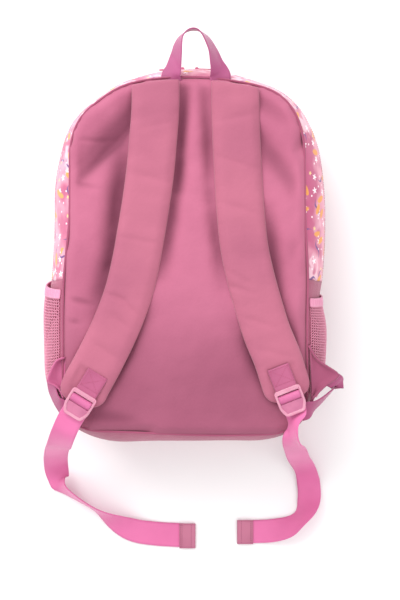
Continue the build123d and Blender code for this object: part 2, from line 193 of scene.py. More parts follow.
def wall(s, v, lift=0.0):
    """Points on the bag's side wall: s runs round it, v from the front seam (0) to the back seam (1)."""
    s, v = np.broadcast_arrays(np.asarray(s, float), np.asarray(v, float))
    s, v = s.ravel(), v.ravel()
    front, back, wide = FRONT_SEAM.at(s), BACK_SEAM.at(s), GIRTH.at(s)
    out = GIRTH.out(s)
    swell = np.sin(np.pi * np.clip(v, 0, 1)) ** 0.8
    flat = front * (1 - v)[:, None] + back * v[:, None] + (wide - (front + back) / 2) * swell[:, None]
    z = FRONT_SEAM_Z * (1 - v) + seam_height(s, BACK_SEAM_Z) * v
    place = np.column_stack([flat, z])
    away = np.minimum(v, 1 - v)
    dents = wobble(place * (1, 1, 0.6), 0.055, 1) * 2.6 * MM * smooth(0.0, 0.35, away)
    pucker = wobble(place * (1, 1, 0.15), 0.011, 2) * 0.7 * MM * smooth(0.30, 0.02, away)
    pinch = mound(place[:, 1], *MOUTH_PINCH) * (place[:, 0] > 0) * swell
    place[:, :2] += out * (dents + pucker + pinch + lift)[:, None]
    return place


ZIP_V = (ZIP_Z - FRONT_SEAM_Z) / (BACK_SEAM_Z - FRONT_SEAM_Z)
TAPE_V = 12 * MM / (BACK_SEAM_Z - FRONT_SEAM_Z)


def mesh_piece(name, points, faces, finish, uvs=None):
    """A piece from points and faces. uvs gives each point its place on the flat cloth, in metres."""
    mesh = bpy.data.meshes.new(name)
    mesh.from_pydata([tuple(p) for p in points], [], faces)
    mesh.polygons.foreach_set("use_smooth", [True] * len(mesh.polygons))
    if uvs is not None:
        layer = mesh.uv_layers.new(name="Cloth")
        corners = np.array([loop.vertex_index for loop in mesh.loops])
        layer.data.foreach_set("uv", np.asarray(uvs, np.float32)[corners].ravel())
    mesh.materials.append(finish)
    piece = bpy.data.objects.new(name, mesh)
    bpy.context.collection.objects.link(piece)
    return piece


def grid_faces(rows, columns, closed=False):
    """Quads over a grid of points, row by row. closed joins the last row to the first."""
    faces = []
    for i in range(rows if closed else rows - 1):
        for j in range(columns - 1):
            a, b = i * columns + j, (i + 1) % rows * columns + j
            faces.append((a, b, b + 1, a + 1))
    return faces


def modify(piece, kind, **settings):
    """Adds a modifier with its settings."""
    made = piece.modifiers.new(kind.title(), kind)
    for key, value in settings.items():
        setattr(made, key, value)
    return made


def settle(piece):
    """Applies the piece's modifiers and returns it as a plain mesh."""
    graph = bpy.context.evaluated_depsgraph_get()
    graph.update()
    settled = bpy.data.meshes.new_from_object(piece.evaluated_get(graph))
    piece.modifiers.clear()
    piece.data = settled
    return piece


def outwards(piece):
    """Turns every face of a closed piece outwards."""
    mesh = bmesh.new()
    mesh.from_mesh(piece.data)
    bmesh.ops.recalc_face_normals(mesh, faces=mesh.faces)
    mesh.to_mesh(piece.data)
    mesh.free()
    return piece


def cloth_sheet(name, s_range, v_range, finish, reverse, lift=0.0, columns=None, rows=None):
    """A panel of the side wall, with the cloth's thickness and its coated reverse side."""
    columns = columns or int(abs(s_range[1] - s_range[0]) * GIRTH.length / (3.5 * MM))
    rows = rows or max(4, int(abs(v_range[1] - v_range[0]) * 115 / 3.5))
    s = np.linspace(*s_range, columns)
    v = np.linspace(*v_range, rows)
    grid_s, grid_v = np.meshgrid(s, v, indexing="ij")
    points = wall(grid_s, grid_v, lift)
    uvs = np.column_stack([grid_s.ravel() * GIRTH.length, grid_v.ravel() * (BACK_SEAM_Z - FRONT_SEAM_Z)])
    piece = mesh_piece(name, points, grid_faces(columns, rows), finish, uvs)
    piece.data.materials.append(reverse)
    modify(piece, "SOLIDIFY", thickness=CLOTH, offset=-1, material_offset=1, use_rim=True)
    return settle(piece)


def ribbon(name, route, width, finish, thick=WEBBING_THICK, step=3 * MM, rounded=0.45):
    """Webbing along a route of places, each with the way its width lies. Takes millimetres."""
    table = np.array([[*point, *across, *(extra or [width / MM])] for point, across, *extra in route], float)
    table[:, :3] *= MM
    line = along(table, step=step)
    place, across, wide = line[:, :3], line[:, 3:6], line[:, 6] * MM
    run = np.gradient(place, axis=0)
    run /= np.linalg.norm(run, axis=1)[:, None]
    across = across - run * np.sum(across * run, axis=1)[:, None]
    across /= np.linalg.norm(across, axis=1)[:, None]
    face = np.cross(run, across)
    half = thick / 2
    edge = rounded * thick
    profile = [
        (-1, 0, 0), (-1, edge, half), (0, 0, half), (1, -edge, half), (1, 0, 0), (1, -edge, -half),
        (0, 0, -half), (-1, edge, -half),
    ]
    profile[2:3] = [(f, 0, half) for f in np.linspace(-0.8, 0.8, 7)]
    profile[12:13] = [(f, 0, -half) for f in np.linspace(0.8, -0.8, 7)]
    points, uvs = [], []
    travelled = np.concatenate([[0], np.cumsum(np.linalg.norm(np.diff(place, axis=0), axis=1))])
    for i in range(len(place)):
        for side, inward, up in profile:
            points.append(place[i] + across[i] * (side * wide[i] / 2 + inward) + face[i] * up)
            uvs.append((travelled[i], side * wide[i] / 2))
    count = len(profile)
    faces = []
    for i in range(len(place) - 1):
        for j in range(count):
            a, b = i * count + j, i * count + (j + 1) % count
            faces.append((a, b, b + count, a + count))
    faces.append(tuple(range(count - 1, -1, -1)))
    faces.append(tuple(range((len(place) - 1) * count, len(place) * count)))
    return outwards(mesh_piece(name, points, faces, finish, uvs))


# =====================================================================================
# Finishes
# =====================================================================================
def srgb(code):
    """A colour from its six-figure code, in linear light."""
    parts = [int(code[i:i + 2], 16) / 255 for i in (0, 2, 4)]
    return tuple(c / 12.92 if c <= 0.04045 else ((c + 0.055) / 1.055) ** 2.4 for c in parts) + (1.0,)


class Finish:
    """A material being built: each call adds a node, with values or other nodes' outputs as its inputs."""

    def __init__(self, name, **constants):
        self.material = bpy.data.materials.new(name)
        self.material.use_nodes = True
        self.tree = self.material.node_tree
        self.shader = self.tree.nodes["Principled BSDF"]
        for key, value in constants.items():
            self.shader.inputs[key.replace("_", " ")].default_value = value

    def add(self, kind, inputs=(), out=0, **settings):
        made = self.tree.nodes.new("ShaderNode" + kind)
        for key, value in settings.items():
            setattr(made, key, value)
        for key, value in dict(inputs).items():
            self.put(made.inputs[key], value)
        return made.outputs[out]

    def put(self, socket, value):
        if isinstance(value, bpy.types.NodeSocket):
            self.tree.links.new(value, socket)
        else:
            socket.default_value = value

    def math(self, operation, a, b=0.0, c=0.0, clamp=False):
        return self.add("Math", {0: a, 1: b, 2: c}, operation=operation, use_clamp=clamp)

    def mix(self, factor, a, b, blend="MIX"):
        return self.add("Mix", {0: factor, 6: a, 7: b}, out=2, data_type="RGBA", blend_type=blend)

    def ramp(self, value, low, high):
        return self.add(
            "MapRange", {0: value, 1: low, 2: high, 3: 0.0, 4: 1.0}, interpolation_type="SMOOTHSTEP",
        )

    def object_place(self):
        return self.add("TexCoord", out=3)

    def cloth_place(self):
        return self.add("UVMap", uv_map="Cloth")

    def noise(self, place, scale, detail=2.0, rough=0.5, dims="3D"):
        inputs = {"Vector": place, "Scale": scale, "Detail": detail, "Roughness": rough}
        return self.add("TexNoise", inputs, noise_dimensions=dims)

    def split(self, place):
        node = self.tree.nodes.new("ShaderNodeSeparateXYZ")
        self.tree.links.new(place, node.inputs[0])
        return node.outputs

    def bump(self, height, distance, strength=1.0, under=None):
        inputs = {"Height": height, "Distance": distance, "Strength": strength}
        if under is not None:
            inputs["Normal"] = under
        return self.add("Bump", inputs)

    def done(self, color=None, rough=None, normal=None, alpha=None):
        for name, value in (
            ("Base Color", color), ("Roughness", rough), ("Normal", normal), ("Alpha", alpha),
        ):
            if value is not None:
                self.put(self.shader.inputs[name], value)
        return self.material


def weave_height(finish, u, v, pitch):
    """A plain weave: threads that pass over and under each other, one pitch for two threads."""
    turn = 2 * math.pi / pitch
    warp = finish.math("SINE", finish.math("MULTIPLY", u, turn))
    weft = finish.math("SINE", finish.math("MULTIPLY", v, turn))
    return finish.math("MULTIPLY_ADD", finish.math("MULTIPLY", warp, weft), 0.5, 0.5)


def woven(
    name, light, dark, place="object", axes=(0, 1), pitch=0.9 * MM, patch=0.35, rough=0.78, sheen=0.25,
    painted_shade=False,
):
    """Plain polyester: a fine weave with painted shade where its threads dip, uneven dye, a slight sheen,
    creases too small to model and, if asked, painted shade read from a point attribute.
    """
    cloth = Finish(name, Sheen_Weight=sheen, Sheen_Roughness=0.45, Specular_IOR_Level=0.3)
    where = cloth.object_place() if place == "object" else cloth.cloth_place()
    parts = cloth.split(where)
    weave = weave_height(cloth, parts[axes[0]], parts[axes[1]], pitch)
    slubs = cloth.noise(where, 420.0, 3.0)
    cloud = cloth.ramp(cloth.noise(where, 9.0, 3.0, 0.55), 0.35, 0.68)
    crumple = cloth.noise(where, 38.0, 4.0, 0.6)
    tone = cloth.mix(cloth.math("MULTIPLY", cloud, patch), srgb(light), srgb(dark))
    # Painted shade: the tone darkens where the weave's threads dip.
    tone = cloth.mix(cloth.math("MULTIPLY_ADD", weave, -0.10, 0.10), tone, srgb(dark))
    tone = cloth.mix(cloth.math("MULTIPLY", cloth.ramp(slubs, 0.5, 0.8), 0.16), tone, srgb(light))
    # Painted shade: darkens the tone wherever the piece's point attribute marks shade.
    if painted_shade:
        deep = cloth.add("Attribute", out=2, attribute_name="PaintedShade")
        tone = cloth.mix(cloth.ramp(deep, 0.0, 1.0), tone, cloth_shadow(dark))
    fibre = cloth.bump(cloth.math("MULTIPLY_ADD", slubs, 0.5, weave), 0.10 * MM, 0.55)
    soft = cloth.bump(crumple, 2.6 * MM, 0.55, fibre)
    grain = cloth.math("MULTIPLY_ADD", crumple, 0.14, rough - 0.07)
    return cloth.done(tone, grain, soft)


def cloth_shadow(code):
    """The greyed, deeper tone used as painted shade in the cloth's fold valleys and towards the bottom of
    the panel.
    """
    return tuple(0.62 * c for c in srgb(code)[:3]) + (1.0,)


def strewn(cloth, u, v, cell, seed, keep):
    """Scatters one motif: a point's place in the nearest motif's own frame, and whether it is shown."""
    vector = cloth.add("CombineXYZ", {0: u, 1: v, 2: seed * 3.7})
    tree = cloth.tree
    cells = tree.nodes.new("ShaderNodeTexVoronoi")
    cells.voronoi_dimensions = "2D"
    cells.inputs["Scale"].default_value = 1 / cell
    cells.inputs["Randomness"].default_value = 0.8
    shifted = cloth.add("VectorMath", {0: vector, 1: (seed * 0.131, seed * 0.077, 0)}, operation="ADD")
    tree.links.new(shifted, cells.inputs["Vector"])
    scaled = cloth.add("VectorMath", {0: shifted, 1: cells.outputs["Position"]}, operation="SUBTRACT")
    chance = cloth.split(cells.outputs["Color"])
    turn = cloth.math("MULTIPLY", chance[1], 6.283)
    turned = cloth.add("VectorRotate", {"Vector": scaled, "Axis": (0, 0, 1), "Angle": turn})
    place = cloth.split(turned)
    shown = cloth.math("LESS_THAN", chance[0], keep)
    return place[0], place[1], shown


def printed(name, pitch=0.9 * MM):
    """Printed polyester: a made-up scatter of stars, dots, waves and petals over a mottled pink ground."""
    cloth = Finish(name, Sheen_Weight=0.2, Sheen_Roughness=0.45, Specular_IOR_Level=0.35)
    where = cloth.cloth_place()
    parts = cloth.split(where)
    u, v = parts[0], parts[1]
    cloud = cloth.noise(where, 26.0, 2.0)
    tone = cloth.mix(cloth.ramp(cloud, 0.38, 0.62), srgb("bf5a80"), srgb("e6a0b4"))
    vein = cloth.ramp(
        cloth.math("SINE", cloth.math("MULTIPLY", cloth.noise(where, 30.0, 2.0), 22.0)), 0.15, 1.0,
    )
    patch = cloth.ramp(cloth.noise(where, 17.0, 1.0), 0.46, 0.60)
    tone = cloth.mix(cloth.math("MULTIPLY", cloth.math("MULTIPLY", vein, patch), 0.7), tone, srgb("f6d3de"))
    tone = star_print(cloth, tone, u, v, 0.019, 1, 0.60, 4.2 * MM, "fff2f6")
    tone = wave_print(cloth, tone, u, v, 0.027, 2, 0.62, "6c4a86")
    tone = petal_print(cloth, tone, u, v, 0.024, 3, 0.55, "eaa04e")
    tone = dot_print(cloth, tone, u, v, 0.012, 4, 0.40, 1.3 * MM, "ffe9f0")
    tone = star_print(cloth, tone, u, v, 0.022, 6, 0.45, 2.6 * MM, "f6dc92")
    weave = weave_height(cloth, u, v, pitch)
    slubs = cloth.noise(where, 420.0, 3.0)
    crumple = cloth.noise(where, 38.0, 4.0, 0.6)
    # Painted shade: the tone darkens where the weave's threads dip.
    tone = cloth.mix(cloth.math("MULTIPLY_ADD", weave, -0.12, 0.12), tone, srgb("b8587c"))
    fibre = cloth.bump(cloth.math("MULTIPLY_ADD", slubs, 0.5, weave), 0.10 * MM, 0.5)
    soft = cloth.bump(crumple, 1.6 * MM, 0.4, fibre)
    return cloth.done(tone, cloth.math("MULTIPLY_ADD", crumple, 0.2, 0.55), soft)


def from_middle(cloth, x, y):
    """How far a point is from its motif's middle."""
    return cloth.math("SQRT", cloth.math("ADD", cloth.math("MULTIPLY", x, x), cloth.math("MULTIPLY", y, y)))


def lay(cloth, tone, shown, color, reach, away, blur):
    """Colours the cloth wherever a point is closer to the motif than the motif's reach."""
    inside = cloth.ramp(cloth.math("SUBTRACT", reach, away), 0.0, blur)
    return cloth.mix(cloth.math("MULTIPLY", inside, shown), tone, srgb(color))


def star_print(cloth, tone, u, v, cell, seed, keep, size, color):
    """Five-pointed stars."""
    x, y, shown = strewn(cloth, u, v, cell, seed, keep)
    points = cloth.math("COSINE", cloth.math("MULTIPLY", cloth.math("ARCTAN2", y, x), 5.0))
    reach = cloth.math("MULTIPLY_ADD", points, size * 0.32, size * 0.68)
    return lay(cloth, tone, shown, color, reach, from_middle(cloth, x, y), 0.35 * MM)


def dot_print(cloth, tone, u, v, cell, seed, keep, size, color):
    """Small round dots."""
    x, y, shown = strewn(cloth, u, v, cell, seed, keep)
    return lay(cloth, tone, shown, color, size, from_middle(cloth, x, y), 0.3 * MM)


def wave_print(cloth, tone, u, v, cell, seed, keep, color):
    """Short wavy strokes that taper to both ends."""
    x, y, shown = strewn(cloth, u, v, cell, seed, keep)
    crest = cloth.math("MULTIPLY", cloth.math("SINE", cloth.math("MULTIPLY", x, 330.0)), 2.2 * MM)
    away = cloth.math("ABSOLUTE", cloth.math("SUBTRACT", y, crest))
    reach = cloth.math("MULTIPLY_ADD", cloth.math("ABSOLUTE", x), -0.15, 1.9 * MM)
    return lay(cloth, tone, shown, color, reach, away, 0.3 * MM)


def petal_print(cloth, tone, u, v, cell, seed, keep, color):
    """Soft drops, broad at one end."""
    x, y, shown = strewn(cloth, u, v, cell, seed, keep)
    reach = cloth.math("MULTIPLY_ADD", x, 0.30, 3.0 * MM)
    away = from_middle(cloth, cloth.math("MULTIPLY", x, 0.5), y)
    return lay(cloth, tone, shown, color, reach, away, 0.8 * MM)


def ribbed(name, light, dark, pitch=1.25 * MM, rough=0.5):
    """Polypropylene webbing: ribs across it, fine warp threads along it, and a firm woven edge."""
    band = Finish(name, Sheen_Weight=0.3, Sheen_Roughness=0.35, Specular_IOR_Level=0.45)
    where = band.cloth_place()
    parts = band.split(where)
    rib = band.math("SINE", band.math("MULTIPLY", parts[0], 2 * math.pi / pitch))
    rib = band.math("MULTIPLY_ADD", rib, 0.5, 0.5)
    warp = band.math("SINE", band.math("MULTIPLY", parts[1], 2 * math.pi / (0.9 * MM)))
    height = band.math("MULTIPLY_ADD", warp, 0.18, rib)
    fluff = band.noise(where, 600.0, 2.0)
    cloud = band.ramp(band.noise(where, 22.0, 2.0), 0.35, 0.7)
    tone = band.mix(band.math("MULTIPLY", cloud, 0.35), srgb(light), srgb(dark))
    # Painted shade: the tone darkens in the troughs between the ribs.
    tone = band.mix(band.math("MULTIPLY_ADD", rib, -0.28, 0.28), tone, srgb(dark))
    edge = band.ramp(band.math("ABSOLUTE", parts[1]), 11.2 * MM, 12.6 * MM)
    tone = band.mix(band.math("MULTIPLY", edge, 0.22), tone, srgb(dark))
    relief = band.bump(band.math("MULTIPLY_ADD", fluff, 0.25, height), 0.22 * MM, 0.6)
    return band.done(tone, band.math("MULTIPLY_ADD", fluff, 0.2, rough - 0.1), relief)


def thread_finish(name, color):
    """Sewing thread with its twist."""
    thread = Finish(name, Sheen_Weight=0.2, Specular_IOR_Level=0.4)
    where = thread.object_place()
    twist = thread.noise(where, 1500.0, 2.0)
    tone = thread.mix(twist, srgb(color), tuple(0.7 * c for c in srgb(color)[:3]) + (1,))
    return thread.done(tone, 0.6, thread.bump(twist, 0.1 * MM, 0.5))


def moulded(name, light, dark, clear=0.25):
    """Moulded plastic with flow marks and fine scratches, as see-through as clear says."""
    plastic = Finish(name, IOR=1.46, Transmission_Weight=clear, Coat_Weight=0.3, Coat_Roughness=0.15)
    where = plastic.object_place()
    flow = plastic.noise(where, 60.0, 3.0)
    scratch = plastic.noise(
        plastic.add("Mapping", {"Vector": where, "Scale": (1, 9, 1), "Rotation": (0, 0, 0.5)}), 300.0,
        2.0,
    )
    tone = plastic.mix(plastic.ramp(flow, 0.3, 0.7), srgb(light), srgb(dark))
    grain = plastic.math("MULTIPLY_ADD", scratch, 0.10, 0.14)
    return plastic.done(tone, grain, plastic.bump(scratch, 0.02 * MM, 0.15))


def painted(name, color, worn):
    """Painted zinc: enamel worn through to the metal here and there."""
    coat = Finish(name, Specular_IOR_Level=0.5, Coat_Weight=0.25, Coat_Roughness=0.2)
    where = coat.object_place()
    chips = coat.ramp(coat.noise(where, 220.0, 5.0, 0.7), 0.62, 0.68)
    grain = coat.noise(where, 900.0, 2.0)
    tone = coat.mix(chips, srgb(color), srgb(worn))
    coat.put(coat.shader.inputs["Metallic"], chips)
    return coat.done(tone, coat.math("MULTIPLY_ADD", grain, 0.2, 0.25), coat.bump(grain, 0.04 * MM, 0.4))


# The back panel's cloth takes painted shade in its folds and lower part.
back_cloth = woven("back panel cloth", "b96783", "914561", painted_shade=True)
strap_cloth = woven("strap cloth", "b2647b", "98506a", patch=0.45)
boot_cloth = woven("boot cloth", "a95873", "833b56", place="cloth")
wing_webbing = ribbed("wing webbing", "c8648f", "a94d77")
# Painted shade: a dark cloth that stands for the shade in the hollow under the right wing's loop.
shade_dark_wing_cloth = woven("wing cloth", "a25170", "7f3a57")
print_cloth = printed("printed cloth")
coated_side = woven("coated reverse side", "d98aa4", "c2708c", place="cloth", rough=0.5, sheen=0.0)
# Lit and shaded copies of one pink webbing: the tails' copy is painted lighter against the bag's shadow on
# them, and the haul loop's and lock's copies are painted darker against the strong light on them.
lightened_tail_webbing = ribbed("ribbed webbing", "e273a8", "c65a8e")
darkened_haul_webbing = ribbed("haul webbing", "ad5280", "8a3a62")
darkened_lock_webbing = ribbed("lock webbing", "cf6a9a", "a94a78")
# Painted shade: a darker copy of the webbing that stands for the shade inside the loops.
shade_darkened_loop_webbing = ribbed("loop webbing", "b04f7e", "8a345c")
tab_webbing = ribbed("tab webbing", "b2577d", "913e62")
seam_tape = woven("seam tape", "a04f6c", "873b58", pitch=0.7 * MM)
pink_thread = thread_finish("pink thread", "b84c74")
pale_thread = thread_finish("pale thread", "e79ab8")
dark_thread = thread_finish("dark thread", "9c3f68")
cap_webbing = ribbed("folded end webbing", "c2738f", "a25673")
lock_plastic = moulded("ladder lock plastic", "efaac2", "e293b0", 0.30)
lock_clear = moulded("clear lock plastic", "d27a9e", "c46e93", 0.22)
slider_paint = painted("slider enamel", "c9698a", "b8a2a6")
zip_cloth = woven("zip tape cloth", "c75883", "9b3b62", place="cloth", pitch=0.6 * MM)
net_yarn = thread_finish("net yarn", "e48aa8")
elastic_finish = ribbed("gathered elastic", "e896b6", "c26d92", pitch=1.6 * MM)
floor_paint = Finish("pale floor")


# =====================================================================================
# Geometry Nodes: what repeats along a line or over a surface
# =====================================================================================
def node_group(name, *inputs):
    """A new Geometry Nodes tree with its named inputs, each a name, a kind and a first value."""
    tree = bpy.data.node_groups.new(name, "GeometryNodeTree")
    tree.interface.new_socket("Geometry", in_out="INPUT", socket_type="NodeSocketGeometry")
    for label, kind, value in inputs:
        socket = tree.interface.new_socket(label, in_out="INPUT", socket_type="NodeSocket" + kind)
        if value is not None:
            socket.default_value = value
    tree.interface.new_socket("Geometry", in_out="OUTPUT", socket_type="NodeSocketGeometry")
    return tree, tree.nodes.new("NodeGroupInput"), tree.nodes.new("NodeGroupOutput")


def place_node(tree, kind, links=(), **settings):
    """Adds a node to a tree, with its settings and what feeds its inputs."""
    made = tree.nodes.new(kind)
    for key, value in settings.items():
        setattr(made, key, value)
    for key, value in dict(links).items():
        if isinstance(value, bpy.types.NodeSocket):
            tree.links.new(value, made.inputs[key])
        else:
            made.inputs[key].default_value = value
    return made


def close_tree(tree, start, end, made):
    """Ends a tree: its instances made real, smooth and given their finish."""
    real = place_node(tree, "GeometryNodeRealizeInstances", {"Geometry": made.outputs[0]})
    soft = place_node(tree, "GeometryNodeSetShadeSmooth", {"Geometry": real.outputs[0]})
    done = place_node(
        tree, "GeometryNodeSetMaterial",
        {"Geometry": soft.outputs[0], "Material": start.outputs["Finish"]},
    )
    tree.links.new(done.outputs[0], end.inputs[0])
    return tree


def bead_tree():
    """Beads set end to end along lines: a stitch, or a zip's coil when each bead lies across the line."""
    tree, start, end = node_group(
        "beads along a line", ("Pitch", "Float", STITCH), (
            "Size", "Vector", (1, 1, 1),
        ), ("Finish", "Material", None)
    )
    up = place_node(tree, "GeometryNodeInputNamedAttribute", {"Name": "up"}, data_type="FLOAT_VECTOR")
    line = place_node(tree, "GeometryNodeMeshToCurve", {"Mesh": start.outputs["Geometry"]})
    even = place_node(
        tree, "GeometryNodeResampleCurve", {"Curve": line.outputs[0], "Length": start.outputs["Pitch"]},
        mode="LENGTH",
    )
    run = place_node(tree, "GeometryNodeInputTangent")
    turn = place_node(
        tree, "FunctionNodeAxesToRotation",
        {
            "Primary Axis": run.outputs[0], "Secondary Axis": up.outputs[0],
        }, primary_axis="X", secondary_axis="Z",
    )
    bead = place_node(tree, "GeometryNodeMeshIcoSphere", {"Radius": 0.5, "Subdivisions": 1})
    beads = place_node(
        tree, "GeometryNodeInstanceOnPoints",
        {
            "Points": even.outputs[0], "Instance": bead.outputs[0], "Rotation": turn.outputs[0],
            "Scale": start.outputs["Size"],
        },
    )
    return close_tree(tree, start, end, beads)


def net_tree():
    """A knitted net: the surface's cells turned into a web of yarn."""
    tree, start, end = node_group("knitted net", ("Yarn", "Float", 0.3 * MM), ("Finish", "Material", None))
    cells = place_node(tree, "GeometryNodeTriangulate", {"Mesh": start.outputs["Geometry"]})
    dual = place_node(tree, "GeometryNodeDualMesh", {"Mesh": cells.outputs[0]})
    line = place_node(tree, "GeometryNodeMeshToCurve", {"Mesh": dual.outputs[0]})
    yarn = place_node(
        tree, "GeometryNodeCurvePrimitiveCircle", {"Resolution": 4, "Radius": start.outputs["Yarn"]},
    )
    web = place_node(
        tree, "GeometryNodeCurveToMesh", {"Curve": line.outputs[0], "Profile Curve": yarn.outputs[0]},
    )
    return close_tree(tree, start, end, web)


def grow(piece, tree, **values):
    """Runs a Geometry Nodes tree on a piece, inputs set by name, and keeps the result as a plain mesh."""
    made = piece.modifiers.new(tree.name, "NODES")
    made.node_group = tree
    for item in tree.interface.items_tree:
        if item.in_out == "INPUT" and item.name in values:
            made[item.identifier] = values[item.name]
    finish = values["Finish"]
    settle(piece)
    piece.data.materials.clear()
    piece.data.materials.append(finish)
    return piece


BEADS = bead_tree()
NET = net_tree()


def beads(name, lines, finish, slot, pitch=STITCH, size=(2.2 * MM, 0.55 * MM, 0.45 * MM)):
    """Beads along lines. Each line is its points and the ways up from the cloth there."""
    points, edges, ups = [], [], []
    for line, up in lines:
        start = len(points)
        points += [tuple(p) for p in line]
        ups += [tuple(u) for u in np.broadcast_to(up, np.shape(line))]
        edges += [(start + i, start + i + 1) for i in range(len(line) - 1)]
    mesh = bpy.data.meshes.new(name)
    mesh.from_pydata(points, edges, [])
    mesh.attributes.new("up", "FLOAT_VECTOR", "POINT").data.foreach_set(
        "vector", np.array(ups, np.float32).ravel(),
    )
    piece = bpy.data.objects.new(name, mesh)
    bpy.context.collection.objects.link(piece)
    return grow(piece, BEADS, Pitch=pitch, Size=size, Finish=finish)


# =====================================================================================
# Bag body
# =====================================================================================
def wall_line(s_range, v, lift, count=None):
    """A line round the wall at one height, with the ways out of it."""
    count = count or int(abs(s_range[1] - s_range[0]) * GIRTH.length / (4 * MM))
    s = np.linspace(*s_range, count)
    out = GIRTH.out(s)
    return wall(s, np.full(count, v), lift), np.column_stack([out, np.zeros(count)])


def side_walls():
    """The gusset in two strips with the zip between them, and the plain boot round the bottom."""
    zipped = (ZIP_END, 1 - ZIP_END)
    gap = 0.004
    strips = [
        (
            "front_gusset_strip", (0.0, ZIP_V - TAPE_V * 0.62), print_cloth, "printed_fabric",
            "front_gusset", "front_half", 0.4 * MM,
        ),
        (
            "zip_tape_front_half", (ZIP_V - TAPE_V, ZIP_V - gap), zip_cloth, "zip_tape",
            "zip_tape_front", "front_half", -0.5 * MM,
        ),
        (
            "zip_tape_back_half", (ZIP_V + gap, ZIP_V + TAPE_V), zip_cloth, "zip_tape", "zip_tape_back",
            "back_half", -0.5 * MM,
        ),
        (
            "back_gusset_strip", (ZIP_V + TAPE_V * 0.62, 1.0), print_cloth, "printed_fabric",
            "back_gusset", "back_half", 0.4 * MM,
        ),
    ]
    for name, levels, finish, slot, node, body, lift in strips:
        strip = cloth_sheet(name, zipped, levels, finish, coated_side, lift)
        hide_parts(node)
        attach(strip, body)
    boot = cloth_sheet(
        "boot", (-ZIP_END, ZIP_END), (0.0, 1.0), boot_cloth, coated_side, 0.8 * MM,
    )
    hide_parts("boot_left", "boot_right", "boot_bottom")
    across_zip(boot)
    for half, sign, body in (("front", -1, "front_half"), ("back", 1, "back_half")):
        edge = wall_line(zipped, ZIP_V + sign * TAPE_V * 0.68, 0.6 * MM)
        stitches = beads(f"zip_{half}_stitches", [edge], pink_thread, "webbing")
        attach(stitches, body)
        line = wall_line(zipped, ZIP_V + sign * 0.011, 0.5 * MM)
        coil = beads(
            f"zip_{half}_coil", [line], zip_cloth_coil, "zip_tape", 1.5 * MM,
            (0.95 * MM, 2.6 * MM, 1.4 * MM),
        )
        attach(coil, body)


def across_zip(piece):
    """Bakes the piece's placement into its points."""
    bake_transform(piece)


zip_cloth_coil = moulded("zip coil", "d06a92", "b04a75", 0.0)


def seam_cord(name, outline, level, radius, lift, finish):
    """The piped edge sewn all round a seam."""
    count = 420
    s = np.linspace(0, 1, count, endpoint=False)
    out = outline.out(s)
    centre = outline.at(s) + out * lift
    z = seam_height(s, level)
    points = []
    for i in range(count):
        for k in range(8):
            turn = 2 * math.pi * k / 8
            flat = centre[i] + out[i] * math.cos(turn) * radius
            points.append((*flat, z[i] + math.sin(turn) * radius))
    faces = []
    for i in range(count):
        for k in range(8):
            a, b = i * 8 + k, i * 8 + (k + 1) % 8
            c = (i + 1) % count * 8
            faces.append((a, b, c + (k + 1) % 8, c + k))
    return outwards(mesh_piece(name, points, faces, finish, None))


def panel_mesh(name, outline, inset, low, high, finish, cell=None):
    """A closed slab with the outline's shape, remeshed into even cells where it has to bend."""
    s = np.linspace(0, 1, 260, endpoint=False)
    rim = outline.at(s) - outline.out(s) * inset
    count = len(rim)
    points = [(x, y, low) for x, y in rim] + [(x, y, high) for x, y in rim]
    faces = [tuple(range(count - 1, -1, -1)), tuple(range(count, 2 * count))]
    faces += [(i, (i + 1) % count, (i + 1) % count + count, i + count) for i in range(count)]
    piece = outwards(mesh_piece(name, points, faces, finish, None))
    if cell:
        modify(piece, "REMESH", mode="VOXEL", voxel_size=cell, use_smooth_shade=True)
        settle(piece)
    else:
        piece.data.polygons.foreach_set("use_smooth", [False] * len(piece.data.polygons))
    return piece


def points_of(piece):
    """The piece's points as an array."""
    place = np.empty(len(piece.data.vertices) * 3, np.float32)
    piece.data.vertices.foreach_get("co", place)
    return place.reshape(-1, 3).astype(float)


def move_points(piece, place):
    """Writes the piece's points back."""
    piece.data.vertices.foreach_set("co", place.astype(np.float32).ravel())
    piece.data.update()


def puff(piece, pressure, cap, frames=20, rounds=1):
    """Swells a pad by cloth simulation, keeping its outline and capping how far any point moves."""
    rest = points_of(piece)
    cloth = modify(piece, "CLOTH")
    cloth.settings.use_pressure = True
    cloth.settings.uniform_pressure_force = pressure
    cloth.settings.effector_weights.gravity = 0
    cloth.settings.quality = 4
    cloth.collision_settings.use_collision = False
    for step in range(1, frames + 1):
        bpy.context.scene.frame_set(step)
    settle(piece)
    bpy.context.scene.frame_set(1)
    moved = (points_of(piece) - rest) * (0, 0, 1)
    far = np.linalg.norm(moved, axis=1)
    share = np.minimum(1, cap / np.maximum(far, 1e-9))
    move_points(piece, rest + moved * share[:, None])
    modify(piece, "SUBSURF", levels=rounds, render_levels=rounds)
    settle(piece)
    piece.data.polygons.foreach_set("use_smooth", [True] * len(piece.data.polygons))
    return piece


# Folds in the back panel: where each runs from and to, its half width and its depth, in millimetres.
PANEL_FOLDS = [
    (
        (-24, 202), (-132, 84), 16, -9.0,
    ), ((-52, 158), (-132, 76), 5, -3.2), ((-74, 118), (-88, -8), 14, -11.0),
    ((-86, 6), (-104, -62), 13, -7.0), ((-5, 200), (-14, 76), 8, -9.5), ((-13, 100), (-30, -22), 10, -7.0),
    ((18, 196), (24, 62), 8, -7.0), ((24, 66), (38, -34), 9, -6.0), ((62, 186), (124, 140), 9, -4.0),
    ((66, 150), (128, 62), 12, -6.5), ((88, 48), (99, -52), 11, -8.0), ((99, -50), (120, -112), 11, -5.0),
    (
        (-138, -49), (-110, -56), 3.2, -2.8,
    ), ((-140, -74), (-124, -77), 2.6, -2.0), ((-134, 82), (-104, 74), 3.4, -2.4),
    ((-134, 130), (-84, 129), 2.4, -1.6),
    ((-50, -60), (-98, -150), 13, -5.0), ((60, -84), (92, -150), 12, -5.0),
    ((-116, -178), (-60, -190), 8, -2.5), ((128, 20), (112, -8), 8, -2.5),
]


